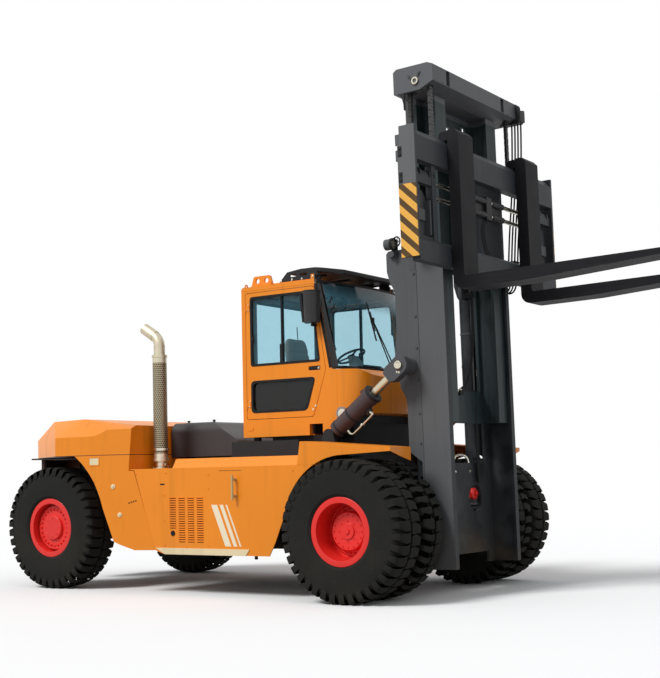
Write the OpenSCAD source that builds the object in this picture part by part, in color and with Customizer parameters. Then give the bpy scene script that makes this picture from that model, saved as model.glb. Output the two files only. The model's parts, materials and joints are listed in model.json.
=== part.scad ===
// Heavy counterbalance forklift truck with a two-stage mast, cab, twin drive wheels and steered rear wheels.
// X runs forward, Y to the left, Z up; millimetres. Lengths below are along X, widths along Y.
// Shapes are drawn from the front axle's centre on the ground, and placed() centres the whole truck.

/* [Running gear] */
// Distance between the front and rear axles
wheelbase = 4470; // [4300:10:4700]
// Outside diameter of every tyre
tyre_d = 1490; // [1440:10:1540]
// Width of one tyre
tyre_w = 430; // [400:5:440]
// Diameter of the rim's bead seat
rim_d = 636; // [600:2:660]
// Overall width across the outer front tyres
track_w = 3480; // [3420:10:3600]
// Gap between twin tyres
twin_gap = 50; // [30:5:60]
// Overall width across the rear tyres
rear_track_w = 2980; // [2960:10:3080]
// Distance of each king pin from the middle
kingpin_y = 905; // [880:5:920]

/* [Body] */
// Half width over the side panels
panel_y = 1480; // [1440:5:1500]
// Half width over the counterweight
ballast_y = 1620; // [1600:5:1660]
// Height of the deck
deck_z = 1440; // [1400:10:1480]
// Height of the underside of the side panels
sill_z = 460; // [420:10:520]
// Thickness of panels and plates
sheet_t = 12; // [8:1:16]
// Rear end of the counterweight behind the rear axle
tail_l = 950; // [900:10:1000]
// Top of the counterweight above the ground
ballast_top = 2060; // [2020:10:2120]

/* [Cab] */
// Width of the cab
cab_w = 1700; // [1640:10:1740]
// Underside of the cab above the ground
cab_floor_z = 1775; // [1760:5:1800]
// Roof of the cab above the ground
cab_roof_z = 3520; // [3450:10:3600]
// Thickness of the doors
door_t = 45; // [35:5:60]

/* [Mast] */
// Backward lean of the mast at rest, in degrees
mast_lean = 1.3; // [0:0.1:3]
// Half width over the outer mast's rails
rail_y = 760; // [740:5:765]
// Depth of the outer rails from front to back
rail_depth = 350; // [330:5:360]
// Top of the outer rails above the ground, mast upright
rail_top = 3740; // [3700:10:3760]
// How far the inner mast stands raised
lift = 1575; // [1500:5:1600]
// Half width over the carriage
carriage_y = 1620; // [1560:5:1640]
// Length of the fork blades
fork_l = 2400; // [2000:50:2440]
// Width of each fork
fork_w = 320; // [280:5:340]
// Thickness of each fork
fork_t = 130; // [110:5:140]
// Distance of each fork's middle from the middle of the truck
fork_y = 790; // [700:5:850]

/* [Hidden] */
$fn = 48;

// Colours
orange = [0.91, 0.52, 0.13];
mast_grey = [0.30, 0.31, 0.32];
black = [0.13, 0.13, 0.14];
rim_red = [0.90, 0.16, 0.14];
tyre_black = [0.17, 0.17, 0.16];
steel = [0.72, 0.72, 0.70];
brassy = [0.74, 0.68, 0.52];
cream = [0.88, 0.80, 0.64];
glass_blue = [0.62, 0.80, 0.86, 0.4];

right = -1;
left = 1;
touch = 0.5;                                 // space between round faces that seat on each other
slide = 8;                                   // clearance between nested rails
run = 1;                                     // clearance of a pin in its bore

// Wheels
tyre_r = tyre_d / 2;
rim_r = rim_d / 2;
flange_r = rim_r + 42;
axle_z = tyre_r;
rear_x = -wheelbase;
outer_tyre_y = track_w / 2 - tyre_w / 2;
inner_tyre_y = outer_tyre_y - tyre_w - twin_gap;
rear_tyre_y = rear_track_w / 2 - tyre_w / 2;
arch_centre = [-100, axle_z];                // arch over the front tyres
arch_r = tyre_r + 45;
steer_arch_r = tyre_r + 340;                 // arch that the steered tyres swing in
arch_z = 700;

// Stations of the body from the rear axle
tail_x = rear_x - tail_l;
ballast_face = rear_x + 1360;                // front wall of the counterweight
seam_top_x = ballast_face + 60;              // slanted seam between counterweight and side panel
seam_low_x = ballast_face + 380;
belt_z = 1610;                               // underside of the counterweight's cap
belt_h = 230;
flank_z = 500;                               // underside of the counterweight's flanks

// Frame
frame_y = 440;                               // outer faces of the frame's side plates
frame_t = 40;
neck_y = 320;                                // outer faces of the narrow neck between the rear wheels
frame_low = 470;
frame_top = 1380;
neck_low = 1005;
subframe_top = 1725;

// Deck and fenders
step_h = 105;                                // height of the raised deck beside the engine
step_x = ballast_face + 660;
fender_back = -690;
fender_front = 480;
fender_in = 1072;
fender_z = 1690;

// Cab
cab_y = cab_w / 2;
cab_back = -1900;
wall = 60;
post_top_x = -830;                           // windscreen post at the roof
post_mid_x = -640;                           // windscreen post at the waist
waist_z = 2500;
toe_z = 1900;                                // raised front part of the floor
door_low_z = 1985;
cowl_front = -250;
cowl_low = 2000;

// Mast, drawn upright
pivot_x = 300;
pivot_z = 620;
rail_front = 805;
rail_back = rail_front - rail_depth;
rail_foot = 300;
web_t = 45;
flange_t = 35;
outer_in = rail_y - 160;                     // inner edge of the outer rails' flanges
inner_out = rail_y - web_t - 15;             // outer edge of the inner rails' flanges
inner_in = inner_out - 230;
inner_back = rail_back + flange_t + slide;
inner_front = rail_front - flange_t - slide;
inner_foot = 290 + lift;
barrel_x = rail_back - 95;
barrel_y = rail_y - 210;
barrel_r = 80;
barrel_foot = 930;
barrel_top = rail_top - 140;
beam_z = rail_top + 40 + lift;               // underside of the crosshead beam
beam_h = 270;
seat_z = beam_z + 70;                        // top of the lift rods, in their seats behind the beam
beam_y = rail_y + 210;
slot_y = rail_y - 125;                       // slots in the front of the beam
chain_y = rail_y + 120;
chain_half = 30;                             // half width of each chain
sheave_r = 100;
sheave_x = rail_back + 235;
sheave_z = beam_z + 100;
chain_out = sheave_r + 40;                   // outside of the chain round its sheave

// Carriage and forks
carriage_z = 280 + 2 * lift;                 // underside of the carriage
carriage_h = 1330;
plate_x = rail_front + 215;                  // front face of the carriage
bar_back = rail_front + 120;
fork_back = plate_x + 8;
fork_z = 50 + 2 * lift;                      // underside of the fork heel

// Tilt cylinders
tilt_pin_x = rail_back - 90;
tilt_pin_z = 2470;
tilt_pin_r = 35;
tilt_y = max(rail_y + 200, cab_y + 110);      // beside the mast and the cab
head_y = 60;                                 // half width of the rod's head
tilt_foot_x = -580;
tilt_foot_z = 1760;

// A point of the upright mast, after the mast leans
function leaned(x, z) = [
  pivot_x + (x - pivot_x) * cos(mast_lean) - (z - pivot_z) * sin(mast_lean),
  pivot_z + (x - pivot_x) * sin(mast_lean) + (z - pivot_z) * cos(mast_lean)];
fork_tip_x = fork_back + fork_t + fork_l;
tip_t = 45;                                  // thickness of the fork at its tip
middle_x = (leaned(fork_tip_x, fork_z + fork_t - tip_t)[0] + tail_x) / 2;

// Points on an arc about a centre
function arc(centre, r, from, to, steps = 8) =
  [for (i = [0:steps]) centre + r * [cos(from + (to - from) * i / steps), sin(from + (to - from) * i / steps)]];
// The same half outline mirrored to negative Y, in reverse order
function flipped(points) = [for (i = [len(points) - 1:-1:0]) [points[i][0], -points[i][1]]];
// A polygon with each corner rounded over the given distance
function soft(points, d, steps = 4) = [for (i = [0:len(points) - 1])
  let (p = points[i], a = points[(i + len(points) - 1) % len(points)], b = points[(i + 1) % len(points)],
    from = p + d * (a - p) / norm(a - p), to = p + d * (b - p) / norm(b - p))
  for (t = [0:1 / steps:1]) (1 - t) * (1 - t) * from + 2 * t * (1 - t) * p + t * t * to];

module placed() translate([-middle_x, 0, 0]) children();
module lean() translate([pivot_x, 0, pivot_z]) rotate([0, -mast_lean, 0])
  translate([-pivot_x, 0, -pivot_z]) children();
module on_side(side) mirror([0, side < 0 ? 1 : 0, 0]) children();
module both_sides() for (side = [right, left]) on_side(side) children();
module block(low, high) translate(low) cube(high - low);
module along_x(from, to) translate([from, 0, 0]) rotate([90, 0, 90]) linear_extrude(to - from) children();
module along_y(from, to) translate([0, to, 0]) rotate([90, 0, 0]) linear_extrude(to - from) children();
module along_z(from, to) translate([0, 0, from]) linear_extrude(to - from) children();
module rod_x(y, z, r, from, to) translate([from, y, z]) rotate([0, 90, 0]) cylinder(r = r, h = to - from);
module rod_y(x, z, r, from, to) translate([x, from, z]) rotate([-90, 0, 0]) cylinder(r = r, h = to - from);
module rod_z(x, y, r, from, to) translate([x, y, from]) cylinder(r = r, h = to - from);

/* Wheels */
bead = tyre_w / 2 - 66;                      // half distance between the feet of the rim's flanges
flange_in = tyre_w / 2 - 45;
function tyre_half() = concat(
  [[rim_r + touch, bead - touch], [flange_r + touch, flange_in - touch], [flange_r + 3, flange_in + 22]],
  arc([rim_r + 90, tyre_w / 2 - 90], 90, 120, 90, 3),
  [[tyre_r - 150, tyre_w / 2]],
  arc([tyre_r - 60, tyre_w / 2 - 62], 60, 80, 10, 5),
  [[tyre_r, tyre_w / 2 - 90]]);
module tyre() rotate([90, 0, 0]) rotate_extrude($fn = 72) polygon(concat(tyre_half(), flipped(tyre_half())));

// Rim band with a flange at both beads; its axis is Y
function rim_half() = [[rim_r, bead], [flange_r, flange_in], [flange_r, flange_in + 16],
  [flange_r - 8, flange_in + 20], [rim_r + 8, flange_in + 22], [rim_r - 22, flange_in + 22]];
module rim_band() rotate([90, 0, 0]) rotate_extrude($fn = 72) polygon(concat(rim_half(), flipped(rim_half())));
// Dished disc between the band and a hole, from the rim to the hub
module rim_disc(y, hub_y, hole_r) rotate([-90, 0, 0]) rotate_extrude($fn = 72)
  polygon([[rim_r - 20, y - 34], [rim_r - 20, y], [rim_r - 40, y + 6], [rim_r - 52, hub_y], [hole_r, hub_y],
    [hole_r, hub_y - 26], [rim_r - 76, hub_y - 26], [rim_r - 60, y - 22], [rim_r - 40, y - 34]]);

module front_rims() color(rim_red) {
  for (y = [inner_tyre_y, outer_tyre_y]) translate([0, y, axle_z]) rim_band();
  translate([0, outer_tyre_y, axle_z]) rim_disc(-70, -90, 160);
  translate([0, inner_tyre_y, axle_z]) rim_disc(150, 130, 210);
  // Hub drum that joins both discs, with its planetary cover
  translate([0, inner_tyre_y + 104, axle_z]) rotate([-90, 0, 0]) difference() {
    cylinder(r = 216, h = outer_tyre_y - inner_tyre_y - 194);
    translate([0, 0, -1]) cylinder(r = 190, h = outer_tyre_y - inner_tyre_y - 192);
  }
  translate([0, outer_tyre_y - 116, axle_z]) rotate([-90, 0, 0]) {
    cylinder(r = 205, h = 140);
    translate([0, 0, 140]) cylinder(r1 = 205, r2 = 192, h = 14);
    cylinder(r = 82, h = 170);
  }
}
module front_tyres() color(tyre_black)
  for (y = [inner_tyre_y, outer_tyre_y]) translate([0, y, axle_z]) tyre();

module rear_rim() color(rim_red) translate([rear_x, rear_tyre_y, axle_z]) {
  rim_band();
  rim_disc(40, 118, 120);
  rotate([-90, 0, 0]) difference() {
    union() {
      translate([0, 0, 60]) cylinder(r = 150, h = 84);
      translate([0, 0, 144]) cylinder(r1 = 150, r2 = 142, h = 8);
    }
    translate([0, 0, 59]) cylinder(r = 120, h = 50);
  }
}
module rear_tyre() color(tyre_black) translate([rear_x, rear_tyre_y, axle_z]) tyre();

// Drive axle: banjo housing with its nose, tubes through the frame, and hub spindles
module drive_axle() color(black) {
  rod_y(0, axle_z, 150, -inner_tyre_y - 90, inner_tyre_y + 90);
  both_sides() {
    rod_y(0, axle_z, 180, inner_tyre_y - 190, inner_tyre_y + 100);
    rod_y(0, axle_z, 215, inner_tyre_y - 205, inner_tyre_y - 185);
    rod_y(0, axle_z, 140, inner_tyre_y + 90, outer_tyre_y - 120);
  }
  rod_y(0, axle_z, 285, -110, 110);
  both_sides() translate([0, 110, axle_z]) rotate([-90, 0, 0]) cylinder(r1 = 285, r2 = 152, h = 190);
  translate([-480, 0, axle_z]) rotate([0, 90, 0]) cylinder(r1 = 105, r2 = 200, h = 260);
}

module steer_axle() color(black) {
  top = axle_z + 150;
  difference() {
    along_z(axle_z - 150, top) polygon(concat(steer_beam_half(), flipped(steer_beam_half())));
    both_sides() {
      block([rear_x - 200, kingpin_y - 90, axle_z - 100], [rear_x + 200, kingpin_y + 200, axle_z + 100]);
      rod_z(rear_x, kingpin_y, 40 + run, axle_z - 200, axle_z + 200);
    }
    // Lightened web of the welded beam
    both_sides() for (side = [right, left])
      block([rear_x + side * 190 - 60, 60, axle_z - 105], [rear_x + side * 190 + 60, 480, axle_z + 105]);
  }
  // Steering cylinder behind the beam
  rod_y(rear_x - 240, axle_z - 60, 70, -300, 300);
  rod_y(rear_x - 240, axle_z - 60, 32, -560, 560);
  for (y = [-330, 300]) block([rear_x - 310, y, axle_z - 140], [rear_x - 170, y + 30, axle_z + 30]);
}
function steer_beam_half() = [[rear_x + 190, 0], [rear_x + 190, 520], [rear_x + 75, kingpin_y + 75],
  [rear_x - 75, kingpin_y + 75], [rear_x - 190, 520], [rear_x - 190, 0]];

module knuckle() color(mast_grey) {
  rod_z(rear_x, kingpin_y, 40, axle_z - 170, axle_z + 170);
  rod_z(rear_x, kingpin_y, 78, axle_z - 94, axle_z + 94);
  rod_y(rear_x, axle_z, 75, kingpin_y + 40, rear_tyre_y + 55);
  rod_y(rear_x, axle_z, 116, rear_tyre_y - 90, rear_tyre_y + 55);
}

/* Frame */
module chassis_frame() color(mast_grey) {
  both_sides() {
    // Long side plates with the axle's hole, and the raised neck over the steer axle
    difference() {
      along_y(frame_y - frame_t, frame_y) polygon([[ballast_face - 270, neck_low - 45],
        [ballast_face, frame_low], [60, frame_low], [60, 1000], [-200, frame_top],
        [ballast_face - 270, frame_top]]);
      rod_y(0, axle_z, 150 + touch, frame_y - 100, frame_y + 100);
    }
    along_y(neck_y - frame_t, neck_y) polygon([[tail_x + 330, neck_low], [ballast_face - 270, neck_low],
      [ballast_face - 270, belt_z], [tail_x + 330, belt_z]]);
    // Mast lug with the pivot's bore
    difference() {
      along_y(frame_y, mast_lug_y) polygon(concat([[-160, 480], [-160, 760]],
        arc([pivot_x, pivot_z], 95, 90, -90, 10)));
      rod_y(pivot_x, pivot_z, pivot_r + run, frame_y - 100, frame_y + 100);
      rod_y(0, axle_z, 150 + touch, frame_y - 100, frame_y + 100);
    }
    // Outriggers that carry the side panels
    for (x = [seam_low_x + 60, -1500])
      block([x, frame_y, 500], [x + 40, panel_y - sheet_t, deck_z - sheet_t]);
    // Splash wall behind the front tyres, and the shelf under the cab's front
    block([-760, frame_y, 1100], [-720, 1060, 1530]);
    block([-760, frame_y, 1530], [-300, 1060, 1545]);
    // Ears that carry the foot of the tilt cylinder, with its pin
    for (y = [tilt_y - 85, tilt_y + 52]) along_y(y, y + 33) polygon(concat([[tilt_foot_x - 120, 1545]],
      [[tilt_foot_x + 120, 1545]], arc([tilt_foot_x, tilt_foot_z], 70, 0, 180, 8)));
    rod_y(tilt_foot_x, tilt_foot_z, tilt_pin_r - run, tilt_y - 60, tilt_y + 60);
    // Rubber mounts under the cab
    for (x = [cab_back + 90, -1060]) rod_z(x, 700, 45, subframe_top - 1, cab_floor_z);
  }
  for (x = [ballast_face + 60, -1650, -1100, -760])
    block([x, -frame_y + frame_t, 480],
      [x + 40, frame_y - frame_t, x < cab_back ? 600 : x < -1000 ? 1546 : frame_top]);
  block([ballast_face - 270, -frame_y, neck_low], [ballast_face - 230, frame_y, frame_top]);
  block([ballast_face, -frame_y + frame_t, 480], [-480, frame_y - frame_t, 500]);
  // Saddle on the steer axle
  block([rear_x - 200, -neck_y, axle_z + 150], [rear_x + 200, neck_y, neck_low + 1]);
  // Box under the cab and the wall behind the front recess
  block([cab_back - 60, -1000, deck_z + step_h + 1], [-1010, 1000, subframe_top]);
  block([-598, -620, frame_top - 50], [-560, 620, cowl_low]);
  block([-720, -frame_y + frame_t, frame_top - 40], [-560, frame_y - frame_t, frame_top]);
}
mast_lug_y = frame_y + 50;
pivot_r = 44;

/* Counterweight */
// Space behind the slanted corner plane that runs down to the side panel
module corner_space() translate([seam_top_x, panel_y, deck_z - 20]) rotate([0, -6.1, 69.1])
  translate([-6000, -6000, -6000]) cube([6000, 12000, 12000]);

function cap_half() = [[ballast_face, 0], [ballast_face, ballast_y], [rear_x + 270, ballast_y],
  [rear_x - 730, 0.6 * ballast_y], [tail_x, 0.43 * ballast_y], [tail_x, 0]];
function crown_half() = [[rear_x + 570, 0], [rear_x + 570, ballast_y - 200], [rear_x - 160, ballast_y - 400],
  [rear_x - 160, 0]];

module counterweight() color(orange) {
  intersection() {
    union() {
      // Cap with sloping sides and tail
      hull() {
        along_z(belt_z, belt_z + belt_h) polygon(concat(cap_half(), flipped(cap_half())));
        along_z(ballast_top - 40, ballast_top) polygon(concat(crown_half(), flipped(crown_half())));
        block([ballast_face - 1, -ballast_y + 260, 1900], [ballast_face, ballast_y - 260, ballast_top - 100]);
      }
      // Flared flanks in front of the rear wheels
      both_sides() difference() {
        along_y(450, ballast_y) polygon([[ballast_face, belt_z + 1], [rear_x + 420, belt_z + 1],
          [rear_x + 910, 1300], [rear_x + 1220, 600], [rear_x + 1490, flank_z], [seam_low_x, flank_z],
          [seam_top_x, deck_z - 20], [ballast_face, deck_z - 20]]);
        rod_y(rear_x, arch_z, steer_arch_r, 400, ballast_y + 10);
      }
    }
    corner_space();
    mirror([0, 1, 0]) corner_space();
  }
  // Heavy lower block between the rear wheels, with the tow jaw and its pin's bore
  difference() {
    block([tail_x + 20, -340, 640], [tail_x + 330, 340, belt_z]);
    block([tail_x, -120, 900], [tail_x + 220, 120, 1020]);
    block([tail_x, -100, 1100], [tail_x + 220, 100, 1400]);
    rod_z(tail_x + 110, 0, 26, 600, 1200);
  }
}

/* Panels */
module side_panel(louvred) {
  color(orange) difference() {
    along_y(panel_y - sheet_t, panel_y) polygon(concat(
      [[seam_low_x + 8, flank_z], [seam_top_x + 8, deck_z - sheet_t]],
      arc(arch_centre, arch_r, 180 - asin((deck_z - sheet_t - axle_z) / arch_r), 170, 10),
      [[arch_centre[0] - arch_r - 105, 615], [arch_centre[0] - arch_r - 190, sill_z],
       [seam_low_x + 130, sill_z]]));
    if (louvred) louvres();
  }
  // Sill strip along the bottom
  color(cream) along_y(panel_y, panel_y + 8) polygon([[seam_low_x + 12, sill_z + 70],
    [-1350, sill_z + 70], [-1400, sill_z - 2], [seam_low_x + 150, sill_z - 2]]);
  // Grab handle on two bosses
  color(brassy) {
    for (z = [1115, 1300]) rod_y(-1530, z, 16, panel_y, panel_y + 62);
    rod_z(-1530, panel_y + 62, 13, 1070, 1345);
  }
}
// Four columns of slots; the first is shorter, over the panel's round lock
module louvres() for (column = [0:3], row = [0:(column == 0 ? 13 : 19)])
  translate([ballast_face + 610 + column * 135, panel_y - 40, 1090 - row * 26]) cube([92, 80, 11]);

// Raised walkway with its chamfered edge
module step_form(from, to, inner) along_x(from, to) polygon([[panel_y, deck_z - 1],
  [panel_y - 70, deck_z + step_h], [inner, deck_z + step_h], [inner, deck_z + step_h - sheet_t],
  [panel_y - 78, deck_z + step_h - sheet_t], [panel_y - 16, deck_z - 1]]);
module deck() color(orange) both_sides() {
  // Low walkway at the rear, its edge under the raised one, and the step between them
  block([ballast_face + 1, 770, deck_z - sheet_t], [-1020, panel_y, deck_z]);
  block([-1021, panel_y - 90, deck_z - sheet_t], [fender_back + 200, panel_y, deck_z]);
  step_form(step_x, -765, 770);
  step_form(-766, fender_back - 6, fender_in - 8);
  block([step_x, 770, deck_z], [step_x + sheet_t, panel_y - 60, deck_z + step_h - 2]);
}

// Folded plate whose outer edge follows the arch, with a slanted flap at the front
module fenders() color(orange) both_sides() {
  difference() {
    along_y(fender_in, panel_y) polygon(concat([[fender_back, deck_z + 1]],
      arc(arch_centre, arch_r, 180 - asin((deck_z + 1 - axle_z) / arch_r), 90, 6),
      [[fender_front, 1560], [fender_front, 1604], [-580, fender_z], [fender_back + 40, fender_z]]));
    along_y(fender_in - 60, panel_y - sheet_t) polygon([[fender_back + sheet_t, 1400],
      [fender_front + 20, 1400], [fender_front + 20, 1588], [-580, fender_z - 14],
      [fender_back + 50, fender_z - 14]]);
  }
  along_x(fender_front - sheet_t, fender_front) polygon([[fender_in, 1596], [fender_in, 1460],
    [panel_y - 190, 1510], [panel_y, 1561], [panel_y, 1596]]);
}

module engine_block() color(mast_grey)
  block([ballast_face + 110, 45 - frame_y, 620], [cab_back + 150, frame_y - 45, 1520]);

// Hood of the engine, hinged at the rear, with its soft crown
module engine_hood() color(black) difference() {
  hood_form(0);
  hood_form(20);
}
module hood_form(inset) {
  back = ballast_face + 20 + inset;
  front = cab_back - 140 - inset;
  top = 1990 - inset;
  half = 760 - inset;
  intersection() {
    along_y(-half, half) polygon(concat([[back, 1575 - 2 * inset], [back, top]],
      arc([front - 480, top - 230], 230, 90, 60, 3), arc([front - 150, top - 330], 150, 60, 10, 6),
      [[front, top - 360], [front, 1575 - 2 * inset]]));
    along_x(back, front) polygon(concat([[-half, 1500], [-half, top - 120]],
      arc([-half + 130, top - 120], 130, 180, 95, 6), arc([half - 130, top - 120], 130, 85, 0, 6),
      [[half, 1500]]));
  }
}

// Upright pipe in its perforated guard, with a swept elbow at the top that blows to the rear
module exhaust_stack() color(brassy) {
  x = ballast_face + 150;
  y = -1100;
  bend = 150;
  turn = 58;
  tail = 190;
  pipe_r = 64;                               // the elbow, which plugs into a sleeve at each end
  sleeve_r = 68;
  elbow_z = 2900;
  difference() {
    union() {
      rod_z(x, y, 62, deck_z, elbow_z - 200);
      rod_z(x, y, 84, 1540, 2780);
      rod_z(x, y, 92, 1530, 1560);
      rod_z(x, y, 92, 2765, 2795);
      rod_z(x, y, sleeve_r, 2700, elbow_z + 8);
      translate([x - bend, y, elbow_z]) {
        intersection() {
          rotate([90, 0, 0]) rotate_extrude() translate([bend, 0]) circle(pipe_r);
          along_y(-80, 80)
            polygon([[0, 0], [3 * bend, 0], [3 * bend, 3 * bend], 3 * bend * [cos(turn), sin(turn)]]);
        }
        rotate([0, -turn, 0]) translate([bend, 0, -8]) cylinder(r = sleeve_r, h = tail + 8);
      }
    }
    translate([x - bend, y, elbow_z]) rotate([0, -turn, 0]) translate([bend, 0, 60]) cylinder(r = 60, h = tail);
  }
}

/* Cab */
// Front edge of the cab's side at a height
function post_x(z) = post_mid_x + (post_top_x - post_mid_x) * (z - waist_z) / (cab_roof_z - 35 - waist_z);
function door_outline(inset) = soft([[cab_back + 60 + inset, door_low_z + inset],
  [-905 - inset, door_low_z + inset], [post_mid_x - 90 - inset, waist_z],
  [post_x(cab_roof_z - 75) - 45 - inset, cab_roof_z - 75 - inset],
  [cab_back + 60 + inset, cab_roof_z - 75 - inset]], 30);
function cab_side_outline() = [[cab_back, cab_floor_z], [-960, cab_floor_z], [-960, 1900],
  [-780, 1900], [-780, fender_z], [-580, fender_z], [-580, waist_z - 6], [post_mid_x, waist_z],
  [post_x(cab_roof_z - 35), cab_roof_z - 35], [post_top_x, cab_roof_z], [cab_back + 20, cab_roof_z],
  [cab_back, cab_roof_z - 20]];

module cab_shell() color(orange) {
  both_sides() difference() {
    along_y(cab_y - wall, cab_y) polygon(cab_side_outline());
    along_y(cab_y - 100, cab_y + 100) polygon(door_outline(-6));
  }
  // Floor, roof with its raised panel, and rear wall with its window
  block([cab_back, -cab_y + wall - 1, cab_floor_z], [-940, cab_y - wall + 1, cab_floor_z + wall]);
  block([-960, -cab_y + wall - 1, cab_floor_z], [-940, cab_y - wall + 1, toe_z + wall]);
  block([-960, -cab_y + wall - 1, toe_z], [-600, cab_y - wall + 1, toe_z + wall]);
  block([cab_back, -cab_y + wall - 1, cab_roof_z - wall], [post_top_x, cab_y - wall + 1, cab_roof_z]);
  block([cab_back + 90, -cab_y + 70, cab_roof_z - 1], [post_top_x - 90, cab_y - 70, cab_roof_z + crown_h]);
  difference() {
    block([cab_back, -cab_y + wall - 1, cab_floor_z + wall - 1],
      [cab_back + wall, cab_y - wall + 1, cab_roof_z - wall + 1]);
    along_x(cab_back - 10, cab_back + 100) polygon(rear_window(0));
  }
  // Front wall under the windscreen
  block([-640, -cab_y + wall - 1, cowl_low], [-580, cab_y - wall + 1, 2060]);
  block([-640, -cab_y + wall - 1, 2059], [-612, cab_y - wall + 1, 2380]);
  // Lugs at the front corners, and the lifting brackets on the roof, each with two eyes
  both_sides() block([-905, cab_y - 40, cab_roof_z - 30], [-850, cab_y, cab_roof_z + 62]);
  both_sides() difference() {
    along_y(cab_y - 210, cab_y - 186) polygon(soft([[eye_x[0] - 95, cab_roof_z + crown_h - 1],
      [eye_x[1] + 95, cab_roof_z + crown_h - 1], [eye_x[1] + 55, cab_roof_z + 150],
      [eye_x[0] - 55, cab_roof_z + 150]], 20, 2));
    for (x = eye_x) rod_y(x, cab_roof_z + 92, eye_r, cab_y - 300, cab_y);
  }
}
crown_h = 22;                                // height of the roof's raised panel
eye_x = [cab_back + 100, cab_back + 230];
eye_r = 30;
function rear_window(inset) = soft([[-cab_y + 210 + inset, 2560 + inset], [cab_y - 210 - inset, 2560 + inset],
  [cab_y - 210 - inset, cab_roof_z - 140 - inset], [-cab_y + 210 + inset, cab_roof_z - 140 - inset]], 60);

// Moulded cowl under the windscreen, rounded at its corners and its brow
module cab_cowl() color(orange) difference() {
  cowl_form(0);
  translate([0, 0, -1]) cowl_form(14);
}
function cowl_half(inset) = concat([[-580, 0], [-580, cab_y - inset]],
  arc([cowl_front - 300, cab_y - 300], 300 - inset, 90, 8, 8), [[cowl_front + 40 - inset, 0]]);
module cowl_form(inset) intersection() {
  along_z(cowl_low, waist_z) polygon(concat(cowl_half(inset), flipped(cowl_half(inset))));
  along_y(-cab_y, cab_y) polygon(concat([[-579, cowl_low], [cowl_front + 50 - inset, cowl_low]],
    arc([cowl_front - 160, 2290], 205 - inset, 0, 75, 8), [[-579, waist_z - 6 - inset]]));
}

// Windscreen, which bulges forward, and the flat rear window
module cab_glass() color(glass_blue) {
  difference() {
    hull() screen_form(0);
    hull() screen_form(10);
  }
  along_x(cab_back + 25, cab_back + 33) polygon(rear_window(touch));
}
module screen_form(back) {
  low = waist_z + 2;
  high = cab_roof_z - 46;
  along_z(low - (back > 0 ? 2 : 0), low + 1) polygon(screen_plan(post_x(low) + 1 - back, 210));
  along_z(high - 1, high + (back > 0 ? 2 : 0)) polygon(screen_plan(post_x(high) + 1 - back, 170));
}
function screen_plan(x, bulge) = concat([[x, cab_y - 6], [x, 6 - cab_y]],
  [for (i = [1:11]) [x + bulge * sin(i * 15), (6 - cab_y) * cos(i * 15)]]);

// Slotted rack over the roof with the visor that slopes down over the windscreen
module roof_guard() color(black) {
  z = cab_roof_z;
  both_sides() difference() {
    along_y(cab_y - 95, cab_y - 75) polygon([[-1400, z + crown_h], [-1290, z + 130], [-900, z + 150],
      [-850, z + 60], [-940, z + crown_h]]);
    for (x = [-1250, -1110]) along_y(cab_y - 200, cab_y)
      polygon(soft([[x, z + 70], [x + 100, z + 74], [x + 100, z + 104], [x, z + 100]], 14, 2));
  }
  intersection() {
    along_y(-cab_y, cab_y) polygon([[-1290, z + 108], [-1290, z + 130], [-1100, z + 152], [-900, z + 150],
      [-600, z + 108], [-600, z + 66], [-630, z + 62], [-900, z + 112], [-1100, z + 122]]);
    along_z(z, z + 200) polygon([[-1300, 75 - cab_y], [-820, 75 - cab_y], [-590, 240 - cab_y],
      [-590, cab_y - 240], [-820, cab_y - 75], [-1300, cab_y - 75]]);
  }
}

module door() {
  color(orange) difference() {
    along_y(cab_y - door_t, cab_y) polygon(door_outline(0));
    along_y(0, cab_y + 100) polygon(window_upper(0));
    along_y(0, cab_y + 100) polygon(window_lower(0));
    // Recess of the handle
    along_y(cab_y - 14, cab_y + 100)
      polygon(soft([[-960, 2500], [-800, 2500], [-800, 2548], [-960, 2548]], 14, 3));
  }
  // Mirror in its moulded housing
  color(black) {
    intersection() {
      translate([-842, cab_y + 75, 3020]) cylinder(r1 = 90, r2 = 114, h = 345);
      block([-1000, cab_y + 45, 3000], [-700, cab_y + 300, 3400]);
    }
    for (z = [3060, 3310]) block([-900, cab_y - 1, z], [-868, cab_y + 60, z + 22]);
  }
}
function window_upper(inset) = soft([[cab_back + 130 + inset, 2600 + inset],
  [post_mid_x - 165 - inset, 2600 + inset], [post_x(cab_roof_z - 125) - 85 - inset, cab_roof_z - 125 - inset],
  [cab_back + 130 + inset, cab_roof_z - 125 - inset]], 40);
function window_lower(inset) = soft([[cab_back + 130 + inset, 2060 + inset], [-990 - inset, 2060 + inset],
  [-870 - inset, 2420 - inset], [cab_back + 130 + inset, 2420 - inset]], 60);
module door_glass() color(glass_blue) along_y(cab_y - 30, cab_y - 22) {
  polygon(window_upper(touch));
  polygon(window_lower(touch));
}

module seat() color(black) {
  along_y(-250, 250) polygon([[-1640, 2230], [-1180, 2260], [-1160, 2340], [-1540, 2350], [-1650, 3010],
    [-1760, 3000], [-1700, 2300]]);
  block([-1600, -200, cab_floor_z + wall], [-1250, 200, 2250]);
}
module dashboard() color(black) {
  along_y(-600, 600) polygon([[-860, 2280], [-650, 2240], [-650, 2440], [-720, 2490], [-860, 2440]]);
  translate([-800, 0, 2400]) rotate([0, -25, 0]) cylinder(r = 45, h = 330);
  block([-850, -150, toe_z + wall], [-700, 150, 2300]);
}
module steering_wheel() color(black) translate([-800, 0, 2400]) rotate([0, -25, 0]) translate([0, 0, 330]) {
  rotate_extrude() translate([168, 14]) circle(13, $fn = 16);
  for (a = [90, 210, 330]) rotate([0, 0, a]) block([0, -12, 5], [168, 12, 18]);
  cylinder(r = 45, h = 24);
}

/* Mast */
tie_x = rail_back - 60;
foot_in = frame_y + 60;                      // inner faces of the mast's feet, beside the lugs of the frame

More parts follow.
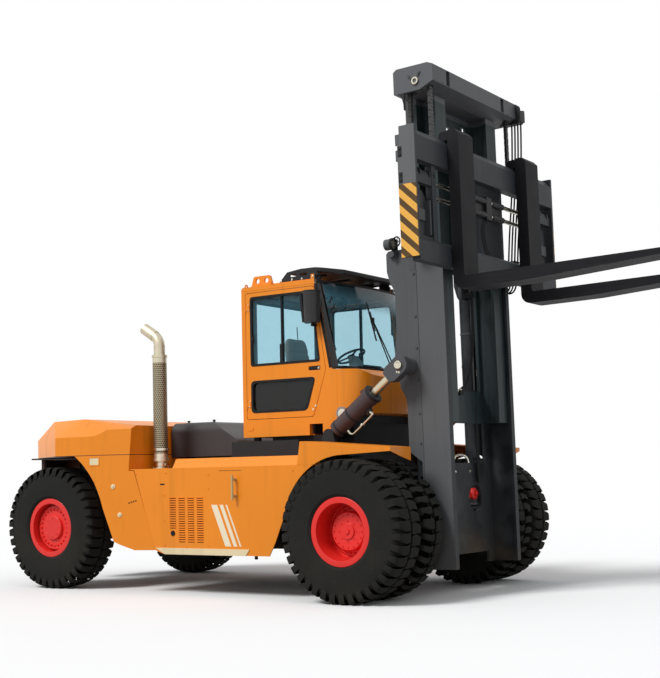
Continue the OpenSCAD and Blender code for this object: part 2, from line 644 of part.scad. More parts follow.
// Channel rail, open to the middle, with a narrow lip in front that leaves the inner rail in view
module outer_rail() {
  front_lip = web_t + 30;
  block([rail_back, rail_y - web_t, rail_foot], [rail_front, rail_y, rail_top]);
  block([rail_back, outer_in, rail_foot], [rail_back + flange_t, rail_y - web_t + 1, rail_top]);
  block([rail_front - flange_t, rail_y - front_lip, rail_foot],
    [rail_front, rail_y - web_t + 1, rail_top]);
}
module outer_mast() color(mast_grey) lean() {
  both_sides() {
    outer_rail();
    gusset();
    tilt_boss();
    chain_anchor();
    mast_foot();
    top_lamp();
  }
  // Ties between the rails: foot, lower wall with its two windows, middle and top
  difference() {
    block([rail_back, -outer_in, 420], [rail_back + flange_t, outer_in, 1425]);
    both_sides() rod_x(330, 1030, 150, rail_back - 20, rail_back + 60);
  }
  block([rail_back, -outer_in, 2050], [rail_back + flange_t, outer_in, 2250]);
  difference() {
    block([tie_x, -outer_in - 60, rail_top - 180], [rail_back + 1, outer_in + 60, rail_top - 10]);
    both_sides() rod_z(barrel_x, barrel_y, barrel_r + touch, rail_top - 300, rail_top + 10);
  }
}
// Rear gusset plate of each rail, which widens at the tilt cylinder's boss and at the top bracket
module gusset() along_y(rail_y - 25, rail_y) polygon(concat(
  [[rail_back + 1, 1440], [rail_back - 155, 1560]],
  arc([rail_back - 455, 2040], 300, 0, 40, 5), [[rail_back - 290, 2560], [rail_back - 255, 2850]],
  arc([rail_back - 492, 3230], 240, 0, 40, 5), [[rail_back - 345, 3520], [rail_back - 345, rail_top - 30],
   [rail_back - 315, rail_top], [rail_back + 1, rail_top]]));
// Boss beside the rod head of the tilt cylinder, with the bore of the pin
module tilt_boss() difference() {
  rod_y(tilt_pin_x, tilt_pin_z, 84, rail_y - 1, tilt_y - head_y - 6);
  rod_y(tilt_pin_x, tilt_pin_z, tilt_pin_r, rail_y - 30, tilt_y + 200);
}
// Bracket that holds the rear end of the chain, with a slot that the chain runs down through
module chain_anchor() difference() {
  block([sheave_x - chain_out - 45, rail_y - 1, rail_top - 60],
    [sheave_x - sheave_r + 45, chain_y + 62, rail_top - 15]);
  block([sheave_x - chain_out - slide, chain_y - chain_half - slide, rail_top - 70],
    [sheave_x - sheave_r + slide, chain_y + chain_half + slide, rail_top]);
}
// Foot with its pin, which turns in the lug of the frame, and the shelf under the lift cylinder
module mast_foot() {
  along_y(foot_in, foot_in + 60) polygon(concat([[rail_back + 1, 420], [rail_back + 1, barrel_foot - 25],
    [barrel_x - 75, barrel_foot - 25]],
    arc([pivot_x, pivot_z], 100, 100, 260, 10)));
  block([rail_back, foot_in, 420], [rail_back + flange_t, outer_in + 1, 900]);
  rod_y(pivot_x, pivot_z, pivot_r, frame_y - 4, foot_in + 1);
  block([barrel_x - 90, barrel_y - 90, barrel_foot - 30], [rail_back + 1, barrel_y + 90, barrel_foot]);
}
// Work lamp over the top bracket
module top_lamp() {
  block([rail_back - 275, rail_y - 24, rail_top - 1], [rail_back - 225, rail_y - 1, rail_top + 80]);
  rod_y(rail_back - 250, rail_top + 60, 14, rail_y - 2, rail_y + 60);
  rod_x(rail_y + 60, rail_top + 60, 60, rail_back - 305, rail_back - 215);
}

module lift_barrels() color(mast_grey) lean() both_sides() difference() {
  union() {
    rod_z(barrel_x, barrel_y, barrel_r, barrel_foot, barrel_top);
    rod_z(barrel_x, barrel_y, barrel_r - 8, barrel_top - 1, barrel_top + 40);
  }
  rod_z(barrel_x, barrel_y, 50, barrel_foot + 60, barrel_top + 100);
}
module lift_rods() color(steel) lean() both_sides() {
  low = barrel_foot + 120 + lift;
  rod_z(barrel_x, barrel_y, 45, low, seat_z);
  rod_z(barrel_x, barrel_y, 49, low - 1, low + 100);
}

// Rail of I section that runs inside the outer channel
module inner_rail() {
  block([inner_back, inner_out - 180, inner_foot], [inner_front, inner_out - 140, beam_z + 1]);
  for (x = [inner_back, inner_front - flange_t])
    block([x, inner_in, inner_foot], [x + flange_t, inner_out, beam_z + 1]);
}
module inner_mast() color(mast_grey) lean() {
  beam_back = rail_back - 35;
  beam_front = rail_front + 95;
  both_sides() {
    inner_rail();
    sheave();
  }
  // Crosshead beam with chamfered edges and pockets for the chain sheaves
  difference() {
    along_y(-beam_y, beam_y) polygon([[beam_back, beam_z], [beam_back, beam_z + beam_h - 30],
      [beam_back + 40, beam_z + beam_h], [beam_front - 60, beam_z + beam_h], [beam_front, beam_z + beam_h - 25],
      [beam_front, beam_z + 70], [beam_front - 165, beam_z]]);
    both_sides() {
      block([sheave_x - chain_out - 7, chain_y - 45, beam_z - 10],
        [sheave_x + chain_out + 7, chain_y + 45, beam_z + 259]);
      block([beam_front - 110, slot_y - 35, beam_z + 80], [beam_front + 10, slot_y + 35, beam_z + 235]);
    }
  }
  // Seats of the lift rods behind the beam
  both_sides() along_y(barrel_y - 65, barrel_y + 65) polygon([[beam_back + 1, seat_z],
    [beam_back + 1, beam_z + 220], [barrel_x - 55, beam_z + 140], [barrel_x - 55, seat_z]]);
  // Upper tie under the beam and lower tie at the foot
  difference() {
    block([inner_back, -inner_in - 1, beam_z - 420], [inner_back + 30, inner_in + 1, beam_z + 1]);
    rod_x(0, beam_z - 420, 260, inner_back - 10, inner_back + 50);
    both_sides() block([inner_back - 10, 300, beam_z - 330], [inner_back + 50, inner_in - 60, beam_z - 90]);
  }
  block([inner_back, -inner_in - 1, inner_foot], [inner_back + 40, inner_in + 1, inner_foot + 360]);
}
// Grooved sheave on its pin, with the keeper plate at the beam's end
module sheave() {
  rod_y(sheave_x, sheave_z, sheave_r, chain_y - 36, chain_y + 36);
  rod_y(sheave_x, sheave_z, 38, chain_y - 50, beam_y + 12);
}
// Leaf chains: over the sheaves, from the outer mast's top to the carriage
module lift_chains() color(black) lean() both_sides() {
  half = chain_half;
  outside = chain_out;
  rear_low = rail_top + 10;
  front_low = carriage_z + carriage_h - 60;
  difference() {
    rod_y(sheave_x, sheave_z, outside, chain_y - half, chain_y + half);
    rod_y(sheave_x, sheave_z, sheave_r + touch, chain_y - 100, chain_y + 100);
    block([sheave_x - 300, chain_y - 100, sheave_z - 300], [sheave_x + 300, chain_y + 100, sheave_z]);
  }
  block([sheave_x - outside, chain_y - half, rear_low],
    [sheave_x - sheave_r - touch, chain_y + half, sheave_z + 1]);
  block([sheave_x + sheave_r + touch, chain_y - half, front_low],
    [sheave_x + outside, chain_y + half, sheave_z + 1]);
}

roller_x = (inner_back + inner_front) / 2;
roller_r = (inner_front - inner_back) / 2 - flange_t - 7;

module carriage() color(mast_grey) lean() {
  z = carriage_z;
  top = z + carriage_h;
  half = chain_half;
  both_sides() {
    // Roller brackets inside the inner rails
    along_y(inner_in - 70, inner_in - 20) polygon([[inner_back + 60, z + 60], [bar_back + 1, z],
      [bar_back + 1, top - 60], [inner_back + 60, z + 1120]]);
    for (h = [180, 1000]) rod_y(roller_x, z + h, roller_r, inner_in - 21, inner_out - 185);
    // Side plate with the brackets at its rear edge
    difference() {
      block([rail_front + 15, carriage_y - 40, z + 40], [plate_x, carriage_y, top + 40]);
      block([rail_front, carriage_y - 50, z + 1180], [rail_front + 40, carriage_y + 1, top + 100]);
    }
    for (h = [1020, 1180])
      block([rail_front - 10, carriage_y - 30, z + h], [rail_front + 60, carriage_y - 8, z + h + 110]);
    // Anchor of the chain's front end
    difference() {
      block([sheave_x + sheave_r - 35, chain_y - 62, top - 120], [bar_back + 1, chain_y + 62, top - 61]);
      block([sheave_x + sheave_r - slide, chain_y - half - slide, top - 130],
        [sheave_x + chain_out + slide, chain_y + half + slide, top]);
    }
    // Uprights between the bars
    block([bar_back, inner_out + 480, z + 200], [plate_x - 20, inner_out + 560, z + 1060]);
    // Housings of the shafts beside the side plates
    block([bar_back + 10, inner_out + 559, z + 800], [plate_x - 25, carriage_y - 39, z + 900]);
  }
  // Top bar with its sloping face, and bottom bar
  along_y(-carriage_y + 39, carriage_y - 39) {
    polygon([[bar_back, top - 310], [bar_back, top], [plate_x - 40, top], [plate_x, top - 60],
      [plate_x, top - 310]]);
    polygon([[bar_back, z], [bar_back, z + 240], [plate_x - 30, z + 240], [plate_x, z + 210], [plate_x, z]]);
  }
}
// Guide rods of the fork positioner, with the middle clamps
module positioner_rods() color(steel) lean() {
  x = bar_back + 45;
  reach = inner_out + 479;
  for (h = [690, 840]) rod_y(x, carriage_z + h, 24, -reach, reach);
}

module fork() color(black) lean() {
  y = fork_y - fork_w / 2;
  front = fork_back + fork_t;
  heel = 110;
  point = 0.3 * fork_w;
  top = carriage_z + carriage_h + 110;
  intersection() {
    along_y(y, y + fork_w) polygon(concat(
      [[fork_back, top], [fork_back, fork_z + heel]],
      arc([fork_back + heel, fork_z + heel], heel, 180, 270, 6),
      [[front + 0.3 * fork_l, fork_z], [fork_tip_x, fork_z + fork_t - tip_t], [fork_tip_x, fork_z + fork_t],
       [front + 30, fork_z + fork_t], [front + 8, fork_z + fork_t + 8], [front, fork_z + fork_t + 30],
       [front, top - 45], [front - 45, top]]));
    // Blade that narrows to its tip
    along_z(fork_z - 10, top + 10) polygon([[fork_back - 10, y], [fork_tip_x - 260, y], [fork_tip_x, y + point],
      [fork_tip_x, y + fork_w - point], [fork_tip_x - 260, y + fork_w], [fork_back - 10, y + fork_w]]);
  }
  // Hook over the carriage's top bar
  along_y(y + 30, y + fork_w - 30) polygon([[fork_back + 1, top - 100], [bar_back - 15, top - 100],
    [bar_back - 15, top - 30], [bar_back + 5, top - 5], [fork_back + 1, top]]);
}

/* Tilt cylinders: the barrel swings on the body, and the rod's head sits beside the mast's boss */
tilt_eye = leaned(tilt_pin_x, tilt_pin_z);
tilt_span = norm([tilt_eye[0] - tilt_foot_x, tilt_eye[1] - tilt_foot_z]);
tilt_rise = atan2(tilt_eye[1] - tilt_foot_z, tilt_eye[0] - tilt_foot_x);
module tilt_frame() translate([tilt_foot_x, 0, tilt_foot_z]) rotate([0, -tilt_rise, 0]) children();
module tilt_barrel() color(black) tilt_frame() difference() {
  union() {
    rod_x(tilt_y, 0, 48, 30, 81);
    rod_x(tilt_y, 0, 95, 80, 680);
    rod_x(tilt_y, 0, 104, 620, 690);
    rod_y(0, 0, 66, tilt_y - 45, tilt_y + 45);
    translate([580, tilt_y - 20, 90]) cube([50, 40, 30]);
  }
  rod_y(0, 0, tilt_pin_r, tilt_y - 100, tilt_y + 100);
  rod_x(tilt_y, 0, 72, 100, 650);
  rod_x(tilt_y, 0, 46, 120, 1000);
}
module tilt_rod() color(steel) tilt_frame() difference() {
  union() {
    rod_x(tilt_y, 0, 45, tilt_span - 770, tilt_span - 100);
    rod_x(tilt_y, 0, 71, tilt_span - 770, tilt_span - 710);
    along_y(tilt_y - head_y, tilt_y + head_y) polygon(concat([[tilt_span - 205, 62], [tilt_span - 205, -62],
      [tilt_span - 150, -94]], arc([tilt_span, 0], 98, -100, 100, 12), [[tilt_span - 150, 94]]));
  }
  rod_y(tilt_span, 0, tilt_pin_r + run, tilt_y - 100, tilt_y + 100);
}

placed() chassis_frame();
placed() counterweight();
placed() on_side(right) side_panel(true);  // side_panel_right
placed() on_side(left) side_panel(false);  // side_panel_left
placed() deck();
placed() fenders();
placed() engine_block();
placed() engine_hood();
placed() exhaust_stack();
placed() cab_shell();
placed() cab_cowl();
placed() cab_glass();
placed() roof_guard();
placed() on_side(right) door();  // door_right
placed() on_side(left) door();  // door_left
placed() on_side(right) door_glass();  // door_glass_right
placed() on_side(left) door_glass();  // door_glass_left
placed() seat();
placed() dashboard();
placed() steering_wheel();
placed() drive_axle();
placed() on_side(right) front_rims();  // front_rims_right
placed() on_side(left) front_rims();  // front_rims_left
placed() on_side(right) front_tyres();  // front_tyres_right
placed() on_side(left) front_tyres();  // front_tyres_left
placed() steer_axle();
placed() on_side(right) knuckle();  // knuckle_right
placed() on_side(left) knuckle();  // knuckle_left
placed() on_side(right) rear_rim();  // rear_rim_right
placed() on_side(left) rear_rim();  // rear_rim_left
placed() on_side(right) rear_tyre();  // rear_tyre_right
placed() on_side(left) rear_tyre();  // rear_tyre_left
placed() outer_mast();
placed() lift_barrels();
placed() inner_mast();
placed() lift_rods();
placed() lift_chains();
placed() carriage();
placed() positioner_rods();
placed() on_side(right) fork();  // fork_right
placed() on_side(left) fork();  // fork_left
placed() on_side(right) tilt_barrel();  // tilt_barrel_right
placed() on_side(left) tilt_barrel();  // tilt_barrel_left
placed() on_side(right) tilt_rod();  // tilt_rod_right
placed() on_side(left) tilt_rod();  // tilt_rod_left
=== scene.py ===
"""Looks of a heavy counterbalance forklift truck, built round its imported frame.

Metres, +X forward, +Y left, +Z up. Stations such as -1.9 are counted from the front axle, and TRUCK moves them
into the frame; what belongs to the mast is drawn upright and MAST leans it.
"""
import json
import math

import bmesh
import bpy
from mathutils import Matrix, Vector

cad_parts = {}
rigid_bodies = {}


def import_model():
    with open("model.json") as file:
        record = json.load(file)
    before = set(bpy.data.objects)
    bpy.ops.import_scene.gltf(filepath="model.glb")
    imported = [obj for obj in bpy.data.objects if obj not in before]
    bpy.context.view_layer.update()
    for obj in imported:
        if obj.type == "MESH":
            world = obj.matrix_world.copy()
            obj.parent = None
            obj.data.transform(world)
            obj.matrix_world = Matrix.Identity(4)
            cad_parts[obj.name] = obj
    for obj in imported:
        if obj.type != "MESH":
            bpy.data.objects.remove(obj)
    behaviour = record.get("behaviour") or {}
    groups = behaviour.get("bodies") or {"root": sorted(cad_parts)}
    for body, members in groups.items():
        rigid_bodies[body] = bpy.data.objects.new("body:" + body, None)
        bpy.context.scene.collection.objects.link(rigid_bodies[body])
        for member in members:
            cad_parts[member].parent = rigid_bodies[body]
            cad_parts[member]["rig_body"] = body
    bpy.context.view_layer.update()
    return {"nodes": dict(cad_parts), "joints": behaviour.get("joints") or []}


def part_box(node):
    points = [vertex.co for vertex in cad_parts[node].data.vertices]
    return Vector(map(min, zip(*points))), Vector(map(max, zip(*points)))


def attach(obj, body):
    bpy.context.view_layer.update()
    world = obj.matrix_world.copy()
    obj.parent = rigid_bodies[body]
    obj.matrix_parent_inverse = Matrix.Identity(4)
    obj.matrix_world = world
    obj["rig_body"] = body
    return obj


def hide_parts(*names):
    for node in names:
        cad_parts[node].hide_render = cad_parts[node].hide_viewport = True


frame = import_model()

SIDES = {"right": -1, "left": 1}

# ---------------------------------------------------------------- places taken from the frame

JOINTS = {joint["name"]: joint for joint in frame["joints"]}


def joint_at(name):
    return Vector(JOINTS[name]["pos_m"])


front_axle = joint_at("front_wheels_right_roll")
mast_pivot = joint_at("mast_tilt")
lift_axis = Vector(JOINTS["mast_lift"]["axis"])
tilt_axis = Vector(JOINTS["tilt_piston_right_slide"]["axis"])
tilt_foot = joint_at("tilt_cylinder_right_swing")

TRUCK = Matrix.Translation((front_axle.x, 0, 0))
MAST = (Matrix.Translation(mast_pivot) @ Matrix.Rotation(-math.atan2(-lift_axis.x, lift_axis.z), 4, "Y")
        @ Matrix.Translation(-mast_pivot) @ TRUCK)
TILT_RISE = math.atan2(tilt_axis.z, tilt_axis.x)
TILT = Matrix.Translation((tilt_foot.x, 0, tilt_foot.z)) @ Matrix.Rotation(-TILT_RISE, 4, "Y")
TILT_SPAN = 1.149
MAST_SLOPE = -lift_axis.x / lift_axis.z
PACKED = Matrix.Identity(4)
X, Y, Z = 0, 1, 2


def rotation(degrees, axis):
    return Matrix.Rotation(math.radians(degrees), 4, "XYZ"[axis])


# ---------------------------------------------------------------- mesh forms


def soft_corners(points, radius):
    """The outline with every corner rounded by a curve that starts at radius from it."""
    steps = 5
    rounded = []
    for i, point in enumerate(points):
        corner = Vector(point)
        before = (Vector(points[i - 1]) - corner).normalized() * radius
        after = (Vector(points[(i + 1) % len(points)]) - corner).normalized() * radius
        for k in range(steps + 1):
            t = k / steps
            rounded.append(tuple(corner + before * (1 - t) ** 2 + after * t ** 2))
    return rounded


def circle(count, radius, start=0.0):
    """Points round a circle about the origin, from an angle in radians."""
    angles = [start + 2 * math.pi * k / count for k in range(count)]
    return [(radius * math.cos(a), radius * math.sin(a)) for a in angles]


def smooth_path(points, steps):
    """A Catmull-Rom curve through the points."""
    line = [Vector(p) for p in points]
    line = [2 * line[0] - line[1]] + line + [2 * line[-1] - line[-2]]
    path = []
    for i in range(1, len(line) - 2):
        a, b, c, d = line[i - 1:i + 3]
        for k in range(steps):
            t = k / steps
            path.append(0.5 * (2 * b + (c - a) * t + (2 * a - 5 * b + 4 * c - d) * t ** 2
                               + (3 * b - a - 3 * c + d) * t ** 3))
    return path + [line[-2]]


def soft_rectangle(low, high, radius):
    return soft_corners([low, (high[0], low[1]), high, (low[0], high[1])], radius)


def soften_edges(mesh, edges, offset, sharp, segments=2):
    """Bevels those of the edges whose faces meet at more than sharp degrees."""
    hard = [e for e in edges if e.is_manifold and e.calc_face_angle(0) > math.radians(sharp)]
    bmesh.ops.bevel(mesh, geom=hard, offset=offset, segments=segments, profile=0.5, affect="EDGES", material=-1,
                    clamp_overlap=True)


class Form:
    """A mesh under construction. Each method adds one shape and softens its edges."""

    def __init__(self):
        self.mesh = bmesh.new()

    def _finish(self, verts, soften, sharp=30):
        """Softens the sharp edges of what was just added."""
        if soften > 0:
            own = set(verts)
            edges = {e for v in verts for e in v.link_edges if e.verts[0] in own and e.verts[1] in own}
            soften_edges(self.mesh, edges, soften, sharp)

    def _thicken(self, verts, faces, axis, thick, soften):
        """Gives flat faces thickness along an axis."""
        grown = bmesh.ops.extrude_face_region(self.mesh, geom=faces)["geom"]
        fresh = [g for g in grown if isinstance(g, bmesh.types.BMVert)]
        step = [0, 0, 0]
        step[axis] = thick
        bmesh.ops.translate(self.mesh, vec=step, verts=fresh)
        every = verts + fresh
        bmesh.ops.recalc_face_normals(self.mesh, faces=list({f for v in every for f in v.link_faces}))
        self._finish(every, soften)

    def box(self, low, high, soften=0.003, turn=None):
        """A block between two corners, turned about its middle."""
        low, high = Vector(low), Vector(high)
        made = bmesh.ops.create_cube(self.mesh, size=1)["verts"]
        middle = (low + high) / 2
        place = Matrix.Translation(middle) @ Matrix.Diagonal((high - low).to_4d())
        if turn is not None:
            centre = Matrix.Translation(middle)
            place = centre @ turn @ centre.inverted() @ place
        bmesh.ops.transform(self.mesh, matrix=place, verts=made)
        self._finish(made, soften)

    def rod(self, start, end, radius, end_radius=None, sides=24, soften=0.002):
        """A round bar or cone between two points."""
        start, end = Vector(start), Vector(end)
        along = end - start
        end_radius = radius if end_radius is None else end_radius
        made = bmesh.ops.create_cone(self.mesh, cap_ends=True, segments=sides, radius1=radius, radius2=end_radius,
                                     depth=along.length)["verts"]
        place = Matrix.Translation((start + end) / 2) @ along.to_track_quat("Z", "Y").to_matrix().to_4x4()
        bmesh.ops.transform(self.mesh, matrix=place, verts=made)
        self._finish(made, soften, sharp=50)

    def plate(self, outline, axis, low, high, soften=0.002):
        """A flat outline given thickness along an axis. Its points are (x, z), (y, z) or (x, y)."""
        spread = {Y: lambda p: (p[0], low, p[1]), X: lambda p: (low, p[0], p[1]),
                  Z: lambda p: (p[0], p[1], low)}[axis]
        verts = [self.mesh.verts.new(spread(p)) for p in outline]
        self._thicken(verts, [self.mesh.faces.new(verts)], axis, high - low, soften)

    def band(self, outer, inner, axis, low, high, soften=0.0015):
        """A flat ring between two outlines of as many points, such as a seal round a pane."""
        loops = []
        for outline in (outer, inner):
            spread = {Y: lambda p: (p[0], low, p[1]), X: lambda p: (low, p[0], p[1])}[axis]
            loops.append([self.mesh.verts.new(spread(p)) for p in outline])
        pairs = list(zip(*loops))
        faces = [self.mesh.faces.new((a, c, d, b)) for (a, b), (c, d) in zip(pairs, pairs[1:] + pairs[:1])]
        self._thicken(loops[0] + loops[1], faces, axis, high - low, soften)

    def turned(self, profile, centre, axis=(0, 1, 0), steps=48, closed=False):
        """A profile of (radius, place along the axis) spun round the axis. An open profile ends on the axis."""
        axis = Vector(axis)
        side = axis.orthogonal().normalized()
        centre = Vector(centre)
        verts = [self.mesh.verts.new(centre + side * r + axis * h) for r, h in profile]
        edges = [self.mesh.edges.new(pair) for pair in zip(verts, verts[1:])]
        if closed:
            edges.append(self.mesh.edges.new((verts[-1], verts[0])))
        before = set(self.mesh.faces)
        bmesh.ops.spin(self.mesh, geom=verts + edges, cent=centre, axis=axis, angle=2 * math.pi, steps=steps,
                       use_merge=True)
        fresh = [f for f in self.mesh.faces if f not in before]
        points = list({v for f in fresh for v in f.verts})
        bmesh.ops.remove_doubles(self.mesh, verts=points, dist=1e-6)
        fresh = [f for f in self.mesh.faces if f not in before]
        bmesh.ops.recalc_face_normals(self.mesh, faces=fresh)
        return fresh

    def bolt(self, at, along, size, height=None):
        """A hexagon head on a round washer."""
        at, along = Vector(at), Vector(along).normalized()
        height = size * 0.8 if height is None else height
        self.rod(at, at + along * size * 0.25, size * 1.3, sides=12, soften=0)
        self.rod(at + along * size * 0.25, at + along * (size * 0.25 + height), size, sides=6, soften=size * 0.1)

    def pipe(self, points, radius, sides=10, steps=6, curved=True):
        """A round tube swept along a curve through the points, closed at both ends."""
        path = smooth_path(points, steps) if curved else [Vector(p) for p in points]
        ahead = [(b - a).normalized() for a, b in zip(path, path[1:])]
        ahead.append(ahead[-1])
        normal = ahead[0].orthogonal().normalized()
        rings = []
        for i, point in enumerate(path):
            tangent = (ahead[i] + ahead[max(i - 1, 0)]).normalized()
            normal = (normal - tangent * normal.dot(tangent)).normalized()
            across = tangent.cross(normal)
            ring = bmesh.ops.create_circle(self.mesh, cap_ends=False, segments=sides, radius=radius)["verts"]
            turn = Matrix((normal, across, tangent)).transposed().to_4x4()
            bmesh.ops.transform(self.mesh, matrix=Matrix.Translation(point) @ turn, verts=ring)
            rings.append(ring)
        faces = []
        for low, high in zip(rings, rings[1:]):
            edges = [e for ring in (low, high) for e in {e for v in ring for e in v.link_edges}
                     if e.verts[0] in ring and e.verts[1] in ring]
            faces += bmesh.ops.bridge_loops(self.mesh, edges=edges)["faces"]
        faces += [self.mesh.faces.new(rings[0]), self.mesh.faces.new(rings[-1])]
        bmesh.ops.recalc_face_normals(self.mesh, faces=faces)

    def ring(self, centre, axis, radius, thick):
        """A round ring, such as an eye or a wire hoop."""
        section = [(radius + across, along) for across, along in circle(10, thick)]
        self.turned(section, centre, axis, 28, closed=True)

    def moved(self, place):
        """Moves what is there so far."""
        bmesh.ops.transform(self.mesh, matrix=place, verts=self.mesh.verts)

    def mirrored(self):
        """Adds the same shapes on the other side of the truck."""
        whole = list(self.mesh.verts) + list(self.mesh.edges) + list(self.mesh.faces)
        copied = bmesh.ops.duplicate(self.mesh, geom=whole)["geom"]
        verts = [g for g in copied if isinstance(g, bmesh.types.BMVert)]
        bmesh.ops.scale(self.mesh, vec=(1, -1, 1), verts=verts)
        bmesh.ops.reverse_faces(self.mesh, faces=[g for g in copied if isinstance(g, bmesh.types.BMFace)])

    def piece(self, name, body, finish, place=TRUCK, slot=None, stands_for=(), smooth=35):
        """Makes the mesh a piece that rides on a body."""
        self.moved(place)
        made_piece(self.mesh, name, body, finish, stands_for, smooth)

    def side_piece(self, side, name, body, finish, place=TRUCK):
        """Makes shapes drawn for the right side a piece on that side or, turned over, on the left."""
        if SIDES[side] > 0:
            bmesh.ops.scale(self.mesh, vec=(1, -1, 1), verts=self.mesh.verts)
            bmesh.ops.reverse_faces(self.mesh, faces=self.mesh.faces)
        self.piece(f"{name}_{side}", body, finish, place)


def made_piece(mesh, name, body, finish, stands_for, smooth=35):
    data = bpy.data.meshes.new(name)
    mesh.to_mesh(data)
    mesh.free()
    data.polygons.foreach_set("use_smooth", [True] * len(data.polygons))
    data.set_sharp_from_angle(angle=math.radians(smooth))
    data.materials.append(MATERIALS[finish])
    piece = bpy.data.objects.new(name, data)
    bpy.context.scene.collection.objects.link(piece)
    weighted = piece.modifiers.new("even_shading", "WEIGHTED_NORMAL")
    weighted.keep_sharp = True
    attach(piece, body)
    if stands_for:
        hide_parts(*stands_for)
    return piece


def body_of(node):
    return frame["nodes"][node]["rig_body"]


def formed(node, finish, edge):
    """The node's own shape with welded faces and softened edges, which stands for it."""
    mesh = bmesh.new()
    mesh.from_mesh(frame["nodes"][node].data)
    bmesh.ops.remove_doubles(mesh, verts=mesh.verts, dist=2e-5)
    bmesh.ops.dissolve_limit(mesh, angle_limit=math.radians(0.6), verts=mesh.verts, edges=mesh.edges)
    if edge > 0:
        soften_edges(mesh, mesh.edges, edge, 28)
    made_piece(mesh, node + "_form", body_of(node), finish, [node])


# ---------------------------------------------------------------- shader maths


def srgb(red, green, blue):
    """A colour as seen, from 0 to 255, in linear light."""
    def linear(value):
        value /= 255
        return value / 12.92 if value <= 0.04045 else ((value + 0.055) / 1.055) ** 2.4
    return (linear(red), linear(green), linear(blue), 1.0)


def operator(operation, swapped=False):
    def method(self, other):
        pair = (other, self) if swapped else (self, other)
        return self.shader.math(operation, *pair)
    return method


class Value:
    """A socket, on which arithmetic adds Math nodes."""

    def __init__(self, shader, socket):
        self.shader = shader
        self.socket = socket

    __add__ = operator("ADD")
    __radd__ = operator("ADD", True)
    __sub__ = operator("SUBTRACT")
    __rsub__ = operator("SUBTRACT", True)
    __mul__ = operator("MULTIPLY")
    __rmul__ = operator("MULTIPLY", True)
    __truediv__ = operator("DIVIDE")
    __gt__ = operator("GREATER_THAN")
    __lt__ = operator("LESS_THAN")


class Nodes:
    """The nodes of a material or a world."""

    def __init__(self, owner):
        owner.use_nodes = True
        self.tree = owner.node_tree
        self.tree.nodes.clear()

    def node(self, kind, settings=None, inputs=None):
        made = self.tree.nodes.new("ShaderNode" + kind)
        for key, value in (settings or {}).items():
            setattr(made, key, value)
        for key, value in (inputs or {}).items():
            if isinstance(value, Value):
                self.tree.links.new(value.socket, made.inputs[key])
            else:
                made.inputs[key].default_value = value
        return made

    def math(self, operation, *values):
        made = self.node("Math", {"operation": operation}, dict(enumerate(values)))
        return Value(self, made.outputs[0])

    def seen(self):
        """1 for rays from the camera, a reflection or a pane, 0 for light that is thrown about."""
        rays = self.node("LightPath").outputs
        camera, glossy, through = (Value(self, rays[f"Is {kind} Ray"])
                                   for kind in ("Camera", "Glossy", "Transmission"))
        return self.math("MAXIMUM", self.math("MAXIMUM", camera, glossy), through)

    def mixed(self, factor, first, second):
        return Value(self, self.node("MixShader", inputs={0: factor, 1: first, 2: second}).outputs[0])

    def shown(self, kind, **inputs):
        """The output of a shader node. Input names are written with _ for spaces."""
        named = {key.replace("_", " "): value for key, value in inputs.items()}
        return Value(self, self.node(kind, inputs=named).outputs[0])

    def end(self, kind, result):
        self.tree.links.new(result.socket, self.node(kind).inputs[0])


class Shader(Nodes):
    """One material and its nodes."""

    def __init__(self, name):
        self.material = bpy.data.materials.new(name)
        super().__init__(self.material)
        self.place = Value(self, self.node("TexCoord").outputs["Object"])
        parts = self.node("SeparateXYZ", inputs={0: self.place}).outputs
        self.x, self.y, self.z = (Value(self, part) for part in parts)

    @property
    def out(self):
        """Distance from the truck's middle plane."""
        return self.math("ABSOLUTE", self.y)

    @property
    def run(self):
        """Distance ahead of the front axle."""
        return self.x - front_axle.x

    def length(self, first, second):
        return self.math("SQRT", first * first + second * second)

    def clamp(self, value):
        made = self.node("Clamp", inputs={0: value})
        return Value(self, made.outputs[0])

    def ramp(self, value, low, high):
        """0 below low, 1 above high, smooth between."""
        made = self.node("MapRange", {"interpolation_type": "SMOOTHSTEP"}, {0: value, 1: low, 2: high})
        return Value(self, made.outputs[0])

    def scaled(self, scale):
        made = self.node("Mapping", inputs={0: self.place, 1: (0, 0, 0), 2: (0, 0, 0), 3: scale})
        return Value(self, made.outputs[0])

    def noise(self, scale, detail=3.0, place=None):
        made = self.node("TexNoise", inputs={"Vector": place or self.place, "Scale": scale, "Detail": detail})
        return Value(self, made.outputs[0])

    def cells(self, scale):
        made = self.node("TexVoronoi", inputs={"Vector": self.place, "Scale": scale})
        return Value(self, made.outputs["Distance"])

    def mix(self, factor, first, second):
        made = self.node("Mix", {"data_type": "RGBA"}, {0: factor, 6: first, 7: second})
        return Value(self, made.outputs[2])

    def tone(self, colour, amount):
        """A colour made lighter or darker by a value near 1."""
        grey = Value(self, self.node("CombineXYZ", inputs={0: amount, 1: amount, 2: amount}).outputs[0])
        made = self.node("VectorMath", {"operation": "MULTIPLY"},
                         {0: colour if isinstance(colour, Value) else colour[:3], 1: grey})
        return Value(self, made.outputs[0])

    def bump(self, height, distance, strength, under=None):
        inputs = {"Height": height, "Distance": distance, "Strength": strength}
        if under is not None:
            inputs["Normal"] = under
        return Value(self, self.node("Bump", inputs=inputs).outputs[0])

    def pane(self, share, **inputs):
        """Ends the material in clear tinted glass, with a share of painted or reflecting surface."""
        painted = self.shown("BsdfPrincipled", IOR=1.45, **inputs)
        self.end("OutputMaterial", self.mixed(share, self.shown("BsdfTransparent", Color=GLASS_TINT), painted))
        return self.material

    def surface(self, **inputs):
        """Ends the material in one Principled surface."""
        self.end("OutputMaterial", self.shown("BsdfPrincipled", **inputs))
        return self.material


# ---------------------------------------------------------------- finishes

